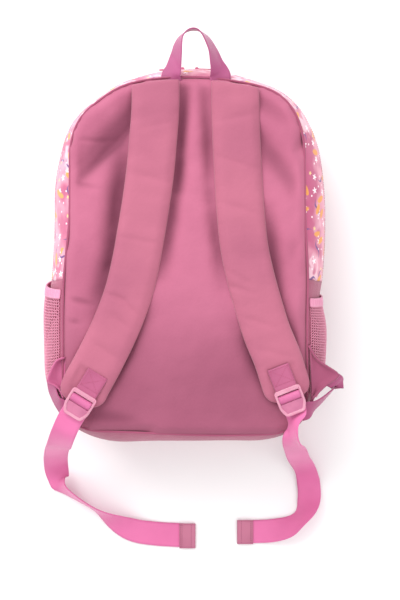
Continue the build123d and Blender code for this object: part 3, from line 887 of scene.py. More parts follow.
def fold_depth(x, y, folds):
    """How far the cloth is pushed in by its folds."""
    depth = np.zeros(len(x))
    for (ax, ay), (bx, by), half, deep in folds:
        a, b = np.array([ax, ay]) * MM, np.array([bx, by]) * MM
        run = b - a
        t = np.clip(((x - a[0]) * run[0] + (y - a[1]) * run[1]) / (run @ run), 0, 1)
        away = np.hypot(x - a[0] - run[0] * t, y - a[1] - run[1] * t)
        ends = np.sin(np.pi * np.clip(0.12 + 0.76 * t, 0, 1))
        depth += deep * MM * np.exp(-((away / (half * MM)) ** 2)) * ends
    return depth


def edge_gap(place, outline):
    """How far inside an outline each point lies, on the flat."""
    ring = outline.at(np.linspace(0, 1, 300, endpoint=False))
    return np.array([np.sqrt(((ring - p) ** 2).sum(axis=1).min()) for p in place[:, :2]])


def back_panel():
    """The padded back panel, with soft diagonal folds where the straps pull on it."""
    low, high = BACK_SEAM_Z - 5 * MM, BACK_SEAM_Z + 0.8 * MM
    pad = panel_mesh("back_panel_pad", BACK_SEAM, -1.9 * MM, low, high, back_cloth, 4.5 * MM)
    puff(pad, 3.0, 5 * MM)
    place = points_of(pad)
    x, y = place[:, 0], place[:, 1]
    folds = fold_depth(x, y, PANEL_FOLDS)
    rim = smooth(0, 14 * MM, edge_gap(place, BACK_SEAM))
    place[:, 2] += folds * rim
    place[:, 2] -= 4.5 * MM * smooth(-0.05, -0.20, y)
    place[:, 2] += (wobble(place * (1, 1, 0), 0.05, 5) * 1.6 + wobble(
        place * (1, 1, 0), 0.018, 6,
    ) * 0.9) * MM * rim
    move_points(pad, place)
    # Painted shade: the cloth is darkened in its fold valleys, and more towards the bottom of the panel
    # where the light falls off.
    painted_shade_amount = np.clip(-folds / (9.5 * MM), 0, 1) * rim * 0.8 + 0.50 * smooth(0.02, -0.15, y)
    shade = pad.data.attributes.new("PaintedShade", "FLOAT", "POINT")
    shade.data.foreach_set("value", np.clip(painted_shade_amount, 0, 1).astype(np.float32))
    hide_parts("back_panel", "back_foam", "back_lining")
    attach(pad, "back_half")
    piping = seam_cord(
        "back_piping_cord", BACK_SEAM, BACK_SEAM_Z - 0.4 * MM, 1.5 * MM, 1.2 * MM, seam_tape,
    )
    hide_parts("back_piping", "back_seam_binding")
    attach(piping, "back_half")


def front_panel():
    """The front panel, hidden while the bag lies on it."""
    panel = panel_mesh(
        "front_panel_sheet", FRONT_SEAM, 0.6 * MM, FRONT_SEAM_Z - 1.6 * MM, FRONT_SEAM_Z, print_cloth,
    )
    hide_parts("front_panel")
    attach(panel, "front_half")
    piping = seam_cord(
        "front_piping_cord", FRONT_SEAM, FRONT_SEAM_Z - 0.6 * MM, 1.3 * MM, 0.9 * MM, seam_tape,
    )
    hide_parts("front_piping", "front_seam_binding")
    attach(piping, "front_half")


# =====================================================================================
# Shoulder straps, their tabs and ladder locks
# =====================================================================================
PAD_LINES = {
    "left": [
        (-38, 196), (-38.5, 163), (-41, 130), (-44, 96), (-48.5, 62), (-54, 28), (-60, -6), (-68, -40),
        (-78.5, -70), (-90, -96), (-103.5, -123), (-117.4, -149), (-125.0, -170),
    ],
    "right": [
        (51.5, 196), (52, 163), (53, 130), (55, 90), (57.5, 51), (61.5, 11), (68.5, -23), (77.5, -56),
        (87.5, -88), (99, -116), (107, -141), (114.5, -165),
    ],
}
PAD_WIDE = {"left": 56 * MM, "right": 56 * MM}
PAD_ACROSS = 13
LOCK_BARS = {"left": ((-117.4, -157.5), (-0.525, -0.851)), "right": ((109.5, -152.0), (0.365, -0.931))}
BAR_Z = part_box("ladder_lock_left")[0][2] + 1.8 * MM
LOCK_LONG, LOCK_WIDE, LOCK_THICK = 31 * MM, 31 * MM, 3.6 * MM
LOCK_HEAD = 2.2 * MM
LOCK_ROUND = 0.8 * MM


class Along:
    """Where points lie along a flat line and across it."""

    def __init__(self, line):
        self.line = line
        self.run = np.gradient(line, axis=0)
        self.run /= np.linalg.norm(self.run, axis=1)[:, None]
        self.done = np.concatenate([[0], np.cumsum(np.linalg.norm(np.diff(line, axis=0), axis=1))])

    def read(self, place):
        """How far along and how far to the left of the line each point is."""
        gap = place[:, None, :2] - self.line[None]
        near = np.argmin((gap**2).sum(axis=2), axis=1)
        offset = gap[np.arange(len(place)), near]
        run = self.run[near]
        travel = self.done[near] + (offset * run).sum(axis=1)
        return travel, offset[:, 1] * run[:, 0] - offset[:, 0] * run[:, 1]


# Creases pressed into the straps' covers, as in the list of the panel's folds.
PAD_CREASES = [
    ((-82, -46), (-50, -76), 3.5, -1.6), (
        (-100, -42), (-70, -52), 3.0, -1.4,
    ), ((-92, -64), (-62, -88), 4.0, -1.2),
    ((-78, 20), (-34, 12), 3.5, -1.1), ((-64, 92), (-22, 80), 4.0, -1.0), (
        (-60, 140), (-20, 150), 3.5, -0.9,
    ),
    (
        (-112, -96), (-78, -120), 4.0, -1.2,
    ), ((42, -34), (74, -44), 3.2, -1.4), ((36, -14), (70, -34), 4.0, -1.1),
    ((60, -70), (96, -82), 3.4, -1.3), ((34, 60), (80, 44), 4.0, -1.1), ((30, 112), (76, 96), 3.5, -1.0),
    ((32, 150), (72, 158), 4.0, -0.9), ((76, -106), (118, -116), 3.6, -1.2),
]


def seam_rise(x):
    """How far above the straps' even start the top seam runs at x."""
    s = 0.5 - x / BACK_SEAM.length
    for _ in range(3):
        s += (BACK_SEAM.at(s)[0, 0] - x) / BACK_SEAM.length
    return float(BACK_SEAM.at(s)[0, 1]) - 1.5 * MM - PAD_LINES["left"][0][1] * MM


def strap_pad(side):
    """One padded strap: its cover is filled by cloth simulation, then sewn flat where the tab sits on it."""
    line = along(np.array(PAD_LINES[side], float) * MM, step=4.2 * MM)
    path = Along(line)
    half_wide, corner = PAD_WIDE[side] / 2, 19 * MM
    middle = (PAD_TOP_Z + PAD_BOTTOM_Z) / 2
    deep = (PAD_TOP_Z - PAD_BOTTOM_Z) / 2 - 1.0 * MM
    marks = np.linspace(-1, 1, PAD_ACROSS)
    points, uvs = [], []
    for centre, run, travel in zip(path.line, path.run, path.done):
        left = path.done[-1] - travel
        narrow = corner - math.sqrt(max(0.0, corner**2 - max(0.0, corner - left) ** 2))
        half = half_wide - 0.8 * MM - narrow
        side_way = np.array([-run[1], run[0]])
        for up, order in ((1, marks), (-1, marks[::-1])):
            for t in order:
                flat = centre + side_way * t * half
                rise = seam_rise(flat[0]) * max(0.0, 1 - travel / (45 * MM))
                flat = flat + np.array([0, rise])
                crown = deep * (0.34 + 0.66 * (1 - abs(t) ** 5)) * (0.45 + 0.55 * min(1.0, left / (9 * MM)))
                points.append((*flat, middle + up * crown))
                uvs.append((travel, t * half))
    ring = 2 * PAD_ACROSS
    rows = len(path.line)
    faces = []
    for i in range(rows - 1):
        for j in range(ring):
            a, b = i * ring + j, i * ring + (j + 1) % ring
            faces.append((a, b, b + ring, a + ring))
    for start, flip in ((0, False), ((rows - 1) * ring, True)):
        for j in range(PAD_ACROSS - 1):
            a, b = start + j, start + j + 1
            c, d = start + ring - 1 - j, start + ring - 2 - j
            faces.append((a, c, d, b) if not flip else (a, b, d, c))
    pad = outwards(mesh_piece(f"strap_pad_{side}", points, faces, strap_cloth, uvs))
    puff(pad, 2.2, 3.0 * MM)
    shape_pad(pad, path, side)
    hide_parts(f"strap_cover_{side}", f"strap_foam_{side}", f"strap_backing_{side}")
    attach(pad, "back_half")


def shape_pad(pad, path, side):
    """Creases across a strap, an uneven edge, and the flat place under its tab."""
    place = points_of(pad)
    travel, across = path.read(place)
    flat = np.column_stack([travel * 1.0, across * 0.42, np.zeros(len(place))])
    creases = wobble(flat, 0.017, 11 if side == "left" else 12) * 1.2 * MM
    soft = wobble(flat, 0.05, 13 if side == "left" else 14) * 1.3 * MM
    edge = np.abs(across) / (PAD_WIDE[side] / 2)
    pucker = wobble(
        np.column_stack([travel, across * 0.1, 0 * travel]), 0.006, 15,
    ) * 0.45 * MM * smooth(0.65, 0.95, edge)
    upper = smooth(-1.5 * MM, 1.5 * MM, place[:, 2] - (PAD_TOP_Z + PAD_BOTTOM_Z) / 2)
    place[:, 2] += (creases + soft + pucker) * upper
    place[:, 2] += fold_depth(place[:, 0], place[:, 1], PAD_CREASES) * upper
    left = path.done[-1] - travel
    under_tab = smooth(46 * MM, 38 * MM, left) * smooth(20 * MM, 14 * MM, np.abs(across)) * upper
    sewn_top = PAD_TOP_Z - 0.6 * MM
    place[:, 2] -= np.maximum(0, place[:, 2] - sewn_top) * under_tab
    place[:, 2] = np.maximum(place[:, 2], BACK_SEAM_Z + 1.6 * MM)
    move_points(pad, place)


def lock_frame(side):
    """A lock's bar centre, the way down the strap and the way across, on the flat."""
    (x, y), (rx, ry) = LOCK_BARS[side]
    run = np.array([rx, ry]) / math.hypot(rx, ry)
    return np.array([x, y]) * MM, run, np.array([-run[1], run[0]])


def along_strap(side, steps):
    """A webbing route from steps down the strap from the lock's bar and heights, both in millimetres."""
    bar, run, across = lock_frame(side)
    return [((*(bar + run * down * MM) / MM, up), (*across, 0)) for down, up in steps]


def ladder_lock(side):
    """The adjuster: a shield-shaped frame with a raised hood at its head."""
    bar, run, across = lock_frame(side)
    curve = bpy.data.curves.new("lock", "CURVE")
    curve.dimensions, curve.fill_mode = "2D", "BOTH"
    curve.extrude, curve.bevel_depth, curve.bevel_resolution = LOCK_THICK / 2 - LOCK_ROUND, LOCK_ROUND, 2
    half, inner = LOCK_WIDE / 2 - LOCK_ROUND, 13.3 * MM
    head, tail = LOCK_ROUND - LOCK_HEAD, LOCK_LONG - LOCK_HEAD - LOCK_ROUND
    shield = [
        (head, -half), (head, half), (19 * MM, half), (tail, 10.4 * MM), (tail, -10.4 * MM),
        (19 * MM, -half),
    ]
    edge = 26.2 * MM
    window = [
        (2.2 * MM, -inner), (2.2 * MM, inner), (18.4 * MM, inner), (edge, 9.2 * MM), (edge, -9.2 * MM),
        (18.4 * MM, -inner),
    ]
    outlines = [(shield, 3.2 * MM), (window, 1.6 * MM)]
    for corners, radius in outlines:
        ring = rounded(corners, radius)
        line = curve.splines.new("POLY")
        line.points.add(len(ring) - 1)
        for point, (down, wide) in zip(line.points, ring):
            point.co = (down, wide, 0, 1)
        line.use_cyclic_u = True
    flat = bpy.data.objects.new("lock outline", curve)
    bpy.context.collection.objects.link(flat)
    bpy.context.view_layer.update()
    mesh = bpy.data.meshes.new_from_object(flat.evaluated_get(bpy.context.evaluated_depsgraph_get()))
    bpy.data.objects.remove(flat)
    piece = bpy.data.objects.new(f"ladder_lock_body_{side}", mesh)
    bpy.context.collection.objects.link(piece)
    place = points_of(piece)
    down, wide, up = place.T.copy()
    hood = smooth(4.5 * MM, 1.5 * MM, down)
    up *= 1 - 0.5 * hood - 0.25 * smooth(18 * MM, 26 * MM, down)
    up += 2.0 * MM * hood + 1.2 * MM * smooth(20 * MM, 29 * MM, down) ** 2
    flat = bar + down[:, None] * run + wide[:, None] * across
    move_points(piece, np.column_stack([flat, BAR_Z + up]))
    mesh = bmesh.new()
    mesh.from_mesh(piece.data)
    bmesh.ops.remove_doubles(mesh, verts=mesh.verts, dist=0.01 * MM)
    bmesh.ops.recalc_face_normals(mesh, faces=mesh.faces)
    mesh.to_mesh(piece.data)
    mesh.free()
    piece.data.materials.clear()
    piece.data.materials.append(lock_plastic)
    piece.data.polygons.foreach_set("use_smooth", [True] * len(piece.data.polygons))
    piece.data.set_sharp_from_angle(angle=math.radians(50))
    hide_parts(f"ladder_lock_{side}")
    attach(piece, f"lock_{side}")
    lock_plate(side)


def lock_plate(side):
    """The thin clear plate that closes the lock's lower half."""
    bar, run, across = lock_frame(side)
    rows, columns = 12, 14
    points = []
    for down in np.linspace(13.9, 27.2, rows):
        half = np.interp(down, [13.9, 18.4, 27.2], [13.9, 13.9, 9.4])
        for wide in np.linspace(-half, half, columns):
            lift = 0.25 + 0.9 * (down > 18.4) * ((down - 18.4) / 9) ** 2
            points.append((*(bar + run * down * MM + across * wide * MM), BAR_Z + lift * MM))
    plate = mesh_piece(
        f"ladder_lock_plate_{side}", points, grid_faces(rows, columns), lock_clear, None,
    )
    modify(plate, "SOLIDIFY", thickness=1.1 * MM, offset=0)
    modify(plate, "BEVEL", width=0.25 * MM, segments=2)
    settle(plate)
    outwards(plate)
    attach(plate, f"lock_{side}")


def rounded(corners, radius, steps=5):
    """A closed outline with its corners rounded."""
    ring = []
    count = len(corners)
    for i, corner in enumerate(corners):
        here = np.array(corner, float)
        before, after = np.array(corners[i - 1], float) - here, np.array(
            corners[(i + 1) % count], float,
        ) - here
        a = here + before / np.linalg.norm(before) * min(radius, np.linalg.norm(before) / 2)
        b = here + after / np.linalg.norm(after) * min(radius, np.linalg.norm(after) / 2)
        ring += [tuple(p) for p in bend(a, here, b, steps)]
    return ring


def strap_end(side):
    """The sewn tab that holds the lock, and the webbing that goes up through it and over its middle."""
    tab_route = along_strap(side, [
        (-28, 143.3), (-20, 143.4), (-10, 143.6), (-5, 144.1), (-2, 144.8), (0, 145.1),
        (1.9, 144.5), (2.5, 143.2),
        (1.7, 142.1), (0, 141.8), (-6, 141.8), (-16, 141.8), (-27, 141.8),
    ])
    tab = ribbon(
        f"strap_tab_webbing_{side}", tab_route, 25.4 * MM, tab_webbing, 1.3 * MM, 1.5 * MM,
    )
    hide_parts(f"strap_tab_{side}")
    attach(tab, "back_half")
    wrap_route = along_strap(side, [
        (19.5, 141.6), (12, 141.3), (6, 141.4), (4.0, 143.0), (4.6, 145.4), (6.8, 147.0),
        (9.2, 147.2), (11.4, 146.3),
        (12.9, 144.4), (14.6, 142.7), (18.5, 142.2), (23.5, 141.9),
    ])
    # Painted shade: the lock's webbing takes a darker copy of the webbing against the strong light on it.
    wrap = ribbon(f"lock_webbing_{side}", wrap_route, 25.4 * MM, darkened_lock_webbing, 1.3 * MM, 1.5 * MM)
    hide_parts(f"webbing_wrap_{side}")
    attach(wrap, f"lock_{side}")
    bar, run, across = lock_frame(side)
    box = []
    corners = [(-26, -10.5), (-26, 10.5), (-8, 10.5), (-8, -10.5)]
    marks = [*zip(corners, corners[1:] + corners[:1]), (corners[0], corners[2]), (corners[1], corners[3])]
    for (a, b), (c, d) in marks:
        t = np.linspace(0, 1, 24)[:, None]
        flat = bar + ((1 - t) * a + t * c) * MM * run + ((1 - t) * b + t * d) * MM * across
        height = np.interp(
            (1 - t) * a + t * c, [-28, -20, -10, -8], [143.3, 143.4, 143.6, 143.9],
        ) * MM + 0.72 * MM
        box.append((np.column_stack([flat, height]), (0, 0, 1)))
    sewing = beads(
        f"tab_stitches_{side}", box, pink_thread, "webbing", 2.2 * MM, (1.9 * MM, 0.55 * MM, 0.4 * MM),
    )
    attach(sewing, "back_half")


# =====================================================================================
# Webbing: wing tabs, loops, free tails and the haul loop
# =====================================================================================
LOOP_LINES = {
    "left": [
        ((-150.5, -134.0, 121.0), (0.80, -0.58, 0.1), 14), ((-154.8, -142.5, 120.0), (0.70, -0.35, 0.6), 18),
        ((-155.4, -152.0, 119.5), (0.52, 0, 0.85), 21), ((-152.0, -162.0, 121.5), (0.42, 0.15, 0.89), 21),
        ((-147.0, -169.5, 125.5), (0.35, 0.5, 0.79), 21), ((-140.0, -174.5, 131.0), (0.3, 0.85, 0.4), 22),
        ((-130.5, -177.0, 136.0), (0.10, 0.99, 0.1), 22),
    ],
    "right": [
        ((152.0, -136.0, 122.0), (-0.64, -0.77, 0), 19), ((161.0, -140.5, 124.0), (-0.64, -0.77, 0), 19),
        ((166.0, -143.4, 122.2), (-0.64, -0.77, 0), 19), ((168.0, -146.4, 116.8), (-0.60, -0.76, -0.2), 19),
        (
            (164.8, -151.0, 114.0), (-0.42, -0.5, -0.75), 20,
        ), ((157.4, -158.0, 117.0), (-0.1, -0.35, -0.93), 17),
        ((149.5, -165.0, 122.5), (0.1, -0.35, -0.93), 16), ((141.0, -170.8, 128.6), (0.25, -0.5, -0.83), 17),
        ((133.5, -175.2, 133.4), (0.3, -0.88, -0.35), 21), ((126.5, -176.6, 136.0), (0.25, -0.96, -0.1), 22),
    ],
}
WING_SHAPES = {
    "left": [
        (-140.5, -117), (-150.8, -121.0), (-160.2, -141.5), (-153.2, -146.0), (-146.2, -151.5),
        (-140.8, -164),
    ],
    "right": [
        (135.5, -102), (146.8, -118.5), (169.8, -135.3), (156.5, -146.8), (148.0, -154.5), (137.5, -166),
    ],
}
TAIL_LINES = {
    "left": [
        ((-128.6, -175.8, 141.0), (0.85, -0.53, 0)), ((-135.5, -187, 140.2), (0.85, -0.53, 0)),
        ((-143, -203, 131), (0.92, -0.38, 0)), ((-149, -217, 106), (0.98, -0.20, 0)),
        ((-153.5, -224, 74), (1, 0, 0)), ((-157, -235, 40), (1, 0.05, 0)), (
            (-158, -249, 15), (0.97, 0.22, 0.1),
        ),
        ((-156.0, -262, 9), (0.88, 0.25, 0.40)),
        ((-153.6, -269, 12), (0.56, 0.26, 0.78)), ((-147, -276.5, 14.2), (0.24, 0.26, 0.93)),
        ((-130, -288, 14.6), (0.12, 0.17, 0.98)), ((-110, -300, 14.5), (0.05, 0.22, 0.97)),
        ((-88, -314, 11), (0.12, 0.72, 0.68)), ((-65, -324.5, 4.5), (0.10, 0.97, 0.2)),
        ((-40, -328.5, 1.6), (0.02, 1, 0)), ((-17, -330, 1.4), (0, 1, 0)), ((4.5, -331, 1.4), (0, 1, 0)),
    ],
    "right": [
        ((117.4, -172.4, 141.0), (0.93, 0.37, 0)), ((119.0, -180, 140.8), (0.85, 0.30, 0.42)),
        ((117.2, -188, 142), (0.46, 0.15, 0.87)), ((116.4, -197, 141), (0.34, 0.1, 0.94)),
        ((116.8, -207, 135), (0.42, 0.1, 0.9)), (
            (118.4, -215.5, 120), (0.62, 0.1, 0.75),
        ), ((121.5, -223, 98), (0.68, 0.15, 0.72)),
        ((126, -234, 64), (0.70, 0.2, 0.68)),
        ((132.5, -244.5, 32), (0.80, 0.25, 0.55)), ((138, -256, 14), (0.90, 0.15, 0.40)),
        ((141, -270, 4.4), (1, 0, 0)), ((141.5, -285, 4.6), (0.98, -0.15, 0.15)),
        ((138.4, -298, 9.5), (0.72, -0.36, 0.58)), ((130, -309.5, 11.5), (0.34, -0.52, 0.78)),
        ((117, -319.5, 9), (0.2, -0.83, 0.5)), ((98, -324.5, 4.4), (0.05, -0.98, 0.15)),
        ((77, -326, 1.8), (0, -1, 0)), ((58, -326.5, 1.6), (0, -1, 0)),
    ],
}
TAIL_WIDE = {"left": 28.5 * MM, "right": 27.5 * MM}


def tail(side):
    """One free end of webbing, its end folded over twice and sewn."""
    body = f"tail_{side}"
    route = TAIL_LINES[side]
    # Painted light: the tails take a lighter copy of the webbing to make up for the bag's shadow over them.
    webbing = ribbon(
        f"webbing_tail_run_{side}", route, TAIL_WIDE[side], lightened_tail_webbing, step=2.5 * MM,
    )
    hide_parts(f"webbing_tail_{side}")
    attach(webbing, body)
    (x, y, _), _ = route[-1]
    inward = -1 if side == "left" else 1
    wide = TAIL_WIDE[side] / MM
    over = [
        ((x + inward * 17, y, 2.9), (0, 1, 0)), ((x + inward * 8, y, 3.1), (0, 1, 0)), (
            (x - inward * 0.5, y, 3.0), (0, 1, 0),
        ),
        ((x - inward * 1.6, y, 1.9), (0, 1, 0)), ((x - inward * 0.4, y, 1.2), (0, 1, 0)),
    ]
    cap = ribbon(f"tail_end_{side}", over, wide * MM + 1.2 * MM, cap_webbing, 1.5 * MM, 1.2 * MM)
    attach(cap, body)
    rows = []
    for down in (3.0, 14.0, 15.6):
        across = np.linspace(-wide / 2 + 1.5, wide / 2 - 1.5, 30)
        points = np.column_stack([np.full(30, x + inward * down), y + across, np.full(30, 3.9)]) * MM
        rows.append((points, (0, 0, 1)))
    sewing = beads(
        f"tail_stitches_{side}", rows, dark_thread, "webbing", 2.2 * MM, (1.9 * MM, 0.6 * MM, 0.4 * MM),
    )
    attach(sewing, body)


def wing(side):
    """The folded triangle of cloth that anchors a loop of webbing in the side seam."""
    shape = np.array(WING_SHAPES[side], float) * MM
    root_low, root_high = shape[-1], shape[0]
    tip = shape[1:-1]
    rows, columns = 14, 18
    root = root_high + (root_low - root_high) * np.linspace(0, 1, columns)[:, None]
    top = along(np.vstack([root_high, tip, root_low]), columns)
    t = np.linspace(0, 1, rows)[:, None, None]
    flat = root[None] * (1 - t) + top[None] * t
    x, y = flat[..., 0].ravel(), flat[..., 1].ravel()
    reach = np.repeat(np.linspace(0, 1, rows), columns)
    z = BACK_SEAM_Z - 0.6 * MM - 4 * MM * np.sin(np.pi * np.clip(reach, 0, 1)) + 2.2 * MM * reach**2
    place = np.column_stack([x, y, z])
    place[:, 2] += wobble(place, 0.012, 21) * 0.8 * MM
    uvs = np.column_stack([x, y])
    faces = grid_faces(rows, columns)
    # Painted shade: the right wing's dark cloth stands for the shade in its loop's hollow.
    finish = shade_dark_wing_cloth if side == "right" else wing_webbing
    piece = mesh_piece(f"wing_{side}", place, faces, finish, uvs)
    modify(piece, "SOLIDIFY", thickness=2.0 * MM, offset=-1)
    settle(piece)
    outwards(piece)
    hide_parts(f"wing_tab_{side}")
    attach(piece, "back_half")
    # Painted shade: the loop's darker webbing stands for the shade inside it under the wing.
    loop = ribbon(
        f"webbing_loop_run_{side}", LOOP_LINES[side], 20 * MM, shade_darkened_loop_webbing, step=2 * MM,
    )
    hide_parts(f"webbing_loop_{side}")
    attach(loop, "back_half")


HAUL_LINE = [
    ((-20.6, 196, 129.5), (1.0, 0, 0.1), 24), (
        (-20.6, 203, 130.5), (0.94, 0, 0.34), 23.5,
    ), ((-18, 211.5, 131.5), (0.79, 0, 0.62), 23),
    ((-15, 226, 132), (0.57, 0, 0.82), 23), ((-12.8, 238, 132), (0.41, 0, 0.91), 23), (
        (-9.5, 246.5, 132), (0.24, 0, 0.97), 23,
    ),
    (
        (-3.4, 252.5, 132), (0.1, 0, 0.99), 23,
    ), ((4, 255, 132), (0, 0, 1), 23), ((11.5, 253, 132), (-0.14, 0, 0.99), 23),
    ((19.5, 245, 132), (-0.34, 0, 0.94), 23), (
        (26.5, 231.5, 132), (-0.47, 0, 0.88), 23,
    ), ((30.5, 218, 131.5), (-0.67, 0, 0.74), 23),
    (
        (33.8, 208, 130.5), (-0.90, 0, 0.43), 23.5,
    ), ((34.8, 203, 130), (-0.98, 0, 0.14), 24), ((34.8, 196, 129.5), (-1.0, 0, 0.1), 24),
]


def haul_loop():
    """The short loop of webbing at the top, sewn into the seam at both ends."""
    # Painted shade: the haul loop takes a darker copy of the webbing against the strong light on it.
    loop = ribbon("haul_loop_webbing", HAUL_LINE, 23 * MM, darkened_haul_webbing, step=2 * MM)
    place = points_of(loop)
    crease = fold_depth(
        place[:, 0], place[:, 1], [((-22, 236), (-8, 200), 3.2, -1.6), ((28, 238), (40, 206), 3.2, -1.6)],
    )
    place[:, 2] += crease
    move_points(loop, place)
    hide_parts("haul_loop")
    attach(loop, "haul")


# =====================================================================================
# Side pockets: a knitted net with a gathered elastic mouth
# =====================================================================================
POCKETS = {
    "left": {"mouth": (-24, -42), "swell": 4.8 * MM, "foot": -163 * MM, "fill": (0.08, 0.66)},
    "right": {"mouth": (-41, -52), "swell": 5.2 * MM, "foot": -163 * MM, "fill": (0.04, 0.90)},
}
BAND = 9 * MM


def pocket_surface(side, along_v, up):
    """Points on a side pocket. along_v runs from the front seam to the back, up from foot to mouth."""
    pocket = POCKETS[side]
    mouth_front, mouth_back = (edge * MM for edge in pocket["mouth"])
    foot = GIRTH.side(pocket["foot"])
    mouth = np.array([GIRTH.side(mouth_front + (mouth_back - mouth_front) * v) for v in along_v.ravel()])
    s = foot + (mouth - foot) * up.ravel()
    if side == "left":
        s = 1 - s
    v = 0.03 + 0.94 * along_v.ravel()
    hill = np.sin(np.pi * along_v.ravel()) ** 0.7
    fill = np.sin(np.pi * (pocket["fill"][0] + pocket["fill"][1] * up.ravel())) ** 0.8
    lift = 1.6 * MM + pocket["swell"] * hill * fill
    return wall(s, v, lift)


def side_pocket(side):
    """One net pocket with its elastic band."""
    rows, columns = 36, 32
    share = 1 - BAND / (115 * MM)
    along_v, up = np.meshgrid(np.linspace(0, 1, columns), np.linspace(0, share, rows), indexing="ij")
    place = pocket_surface(side, along_v, up)
    sheet = mesh_piece(f"side_net_knit_{side}", place, grid_faces(columns, rows), net_yarn, None)
    grow(sheet, NET, Yarn=0.60 * MM, Finish=net_yarn)
    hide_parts(f"side_net_{side}")
    across_seams(sheet)
    rows, columns = 12, 160
    along_v, up = np.meshgrid(np.linspace(0, 1, columns), np.linspace(share - 0.01, 1, rows), indexing="ij")
    place = pocket_surface(side, along_v, up)
    out = np.array([1.0 if side == "right" else -1.0, 0, 0])
    gathers = np.sin(along_v.ravel() * 2 * math.pi * 26) * 0.5 * MM * np.sin(np.pi * np.clip(
        0.1 + 0.8 * (up.ravel() - share) / (1 - share), 0, 1,
    ))
    place += out * (gathers + 0.5 * MM)[:, None]
    uvs = np.column_stack([along_v.ravel() * 110 * MM, (up.ravel() - share) / (1 - share) * BAND - BAND / 2])
    band = mesh_piece(
        f"side_elastic_band_{side}", place, grid_faces(columns, rows), elastic_finish, uvs,
    )
    modify(band, "SOLIDIFY", thickness=1.5 * MM, offset=0)
    settle(band)
    outwards(band)
    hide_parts(f"side_elastic_{side}")
    across_seams(band)
    seam = []
    for edge in (0.015, 0.985):
        t = np.linspace(0, 1, 60)
        seam.append((pocket_surface(side, np.full(60, edge), t) + out * 0.6 * MM, (out[0], 0, 0)))
    sewing = beads(f"side_pocket_stitches_{side}", seam, pale_thread, "net")
    across_seams(sewing)


def across_seams(piece):
    """Bakes the piece's placement into its points."""
    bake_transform(piece)


# =====================================================================================
# Front pocket, under the bag
# =====================================================================================
def front_pocket():
    """The pocket the bag lies on: a soft shell of printed cloth, pressed flat where it meets the floor."""
    low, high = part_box("pocket_face")[0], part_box("pocket_face")[1]
    half, bottom, top = high[0] - 0.5 * MM, low[1] + 0.5 * MM, high[1] - 0.5 * MM
    ring = rounded([(-half, bottom), (half, bottom), (half, top), (-half, top)], 30 * MM, 12)
    ring = np.array(ring)
    run = np.concatenate([
        [0], np.cumsum(np.linalg.norm(np.diff(np.vstack([ring, ring[:1]]), axis=0), axis=1)),
    ])
    marks = np.linspace(0, run[-1], 241)[:-1]
    closed = np.vstack([ring, ring[:1]])
    ring = np.column_stack([np.interp(marks, run, closed[:, k]) for k in (0, 1)])
    centre = ring.mean(axis=0)
    levels = [
        (0.62, 0.2), (0.86, 0.2), (0.955, 0.25), (0.985, 1.5), (0.996, 4.5), (1.0, 9), (1.003, 14),
        (1.002, 19), (0.998, 24), (0.99, 27.0),
    ]
    points, uvs = [], []
    for share, level in levels:
        for i, (x, y) in enumerate(ring):
            flat = centre + (np.array([x, y]) - centre) * share
            points.append((*flat, level * MM))
            uvs.append((marks[i], level * MM + share * 0.1))
    count = len(ring)
    faces = [tuple(range(count - 1, -1, -1))]
    for i in range(len(levels) - 1):
        for j in range(count):
            a, b = i * count + j, i * count + (j + 1) % count
            faces.append((a, b, b + count, a + count))
    shell = mesh_piece("front_pocket_shell", points, faces, print_cloth, uvs)
    place = points_of(shell)
    rise = smooth(1 * MM, 9 * MM, place[:, 2]) * smooth(27 * MM, 20 * MM, place[:, 2])
    ripple = wobble(place * (1, 1, 0.5), 0.03, 31) * 1.6 * MM * rise
    away = place[:, :2] - centre
    place[:, :2] += away / np.linalg.norm(away, axis=1)[:, None] * ripple[:, None]
    move_points(shell, place)
    modify(shell, "SOLIDIFY", thickness=CLOTH, offset=-1)
    settle(shell)
    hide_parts("pocket_face", "pocket_side_left", "pocket_side_right", "pocket_bottom")
    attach(shell, "front_half")


side_walls()
back_panel()
front_panel()
for which in ("left", "right"):
    strap_pad(which)
    strap_end(which)
    ladder_lock(which)
    wing(which)
    tail(which)
    side_pocket(which)
haul_loop()
front_pocket()

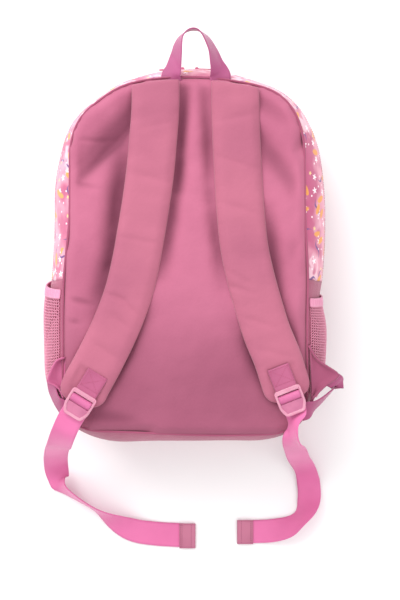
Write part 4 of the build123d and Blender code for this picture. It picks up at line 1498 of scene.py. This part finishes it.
for node, finish in (
    ("pocket_top", print_cloth), ("pocket_zip_tape", zip_cloth), ("main_slider_left", slider_paint),
    ("main_slider_right", slider_paint), ("main_pull_left", slider_paint), ("main_pull_right", slider_paint),
    ("pocket_slider", slider_paint), ("pocket_pull", slider_paint),
):
    for slot in bpy.data.objects[node].material_slots:
        slot.material = finish


# =====================================================================================
# Floor, light and camera
# =====================================================================================
# The camera's height over the back panel and the height of what it sees there, in metres.
CAMERA_HEIGHT = 2.5
VIEW_TALL = 0.678
# Each lamp's name, place, size and power.
LAMPS = (("key", (-1.0, 1.45, 1.55), 2.0, 52), ("fill", (1.3, -1.4, 2.2), 2.6, 22))


def studio():
    """A pale floor, soft light from above and a camera that looks straight down."""
    bpy.ops.mesh.primitive_plane_add(size=12, location=(0, 0, -0.0006))
    ground = bpy.context.object
    ground.name = "floor"
    where = floor_paint.object_place()
    tone = floor_paint.mix(floor_paint.noise(where, 3.0, 2.0), (0.96, 0.96, 0.96, 1), (0.93, 0.93, 0.93, 1))
    ground.data.materials.append(floor_paint.done(tone, 0.8))
    world = bpy.data.worlds.new("studio")
    world.use_nodes = True
    world.node_tree.nodes["Background"].inputs[0].default_value = (1.0, 1.0, 1.0, 1)
    world.node_tree.nodes["Background"].inputs[1].default_value = 0.92
    bpy.context.scene.world = world
    for name, place, size, power in LAMPS:
        lamp = bpy.data.lights.new(name, "AREA")
        lamp.size, lamp.energy = size, power
        light = bpy.data.objects.new(name, lamp)
        light.location = place
        light.rotation_euler = (Vector((0, 0, 0.1)) - Vector(place)).to_track_quat("-Z", "Y").to_euler()
        bpy.context.collection.objects.link(light)
    camera = bpy.data.cameras.new("camera")
    camera.sensor_width = 36
    camera.lens = camera.sensor_width * CAMERA_HEIGHT / VIEW_TALL
    eye = bpy.data.objects.new("camera", camera)
    eye.location = (0.0119, -0.0509, BACK_SEAM_Z + CAMERA_HEIGHT)
    bpy.context.collection.objects.link(eye)
    scene = bpy.context.scene
    scene.camera = eye
    scene.view_settings.view_transform = "Standard"


studio()
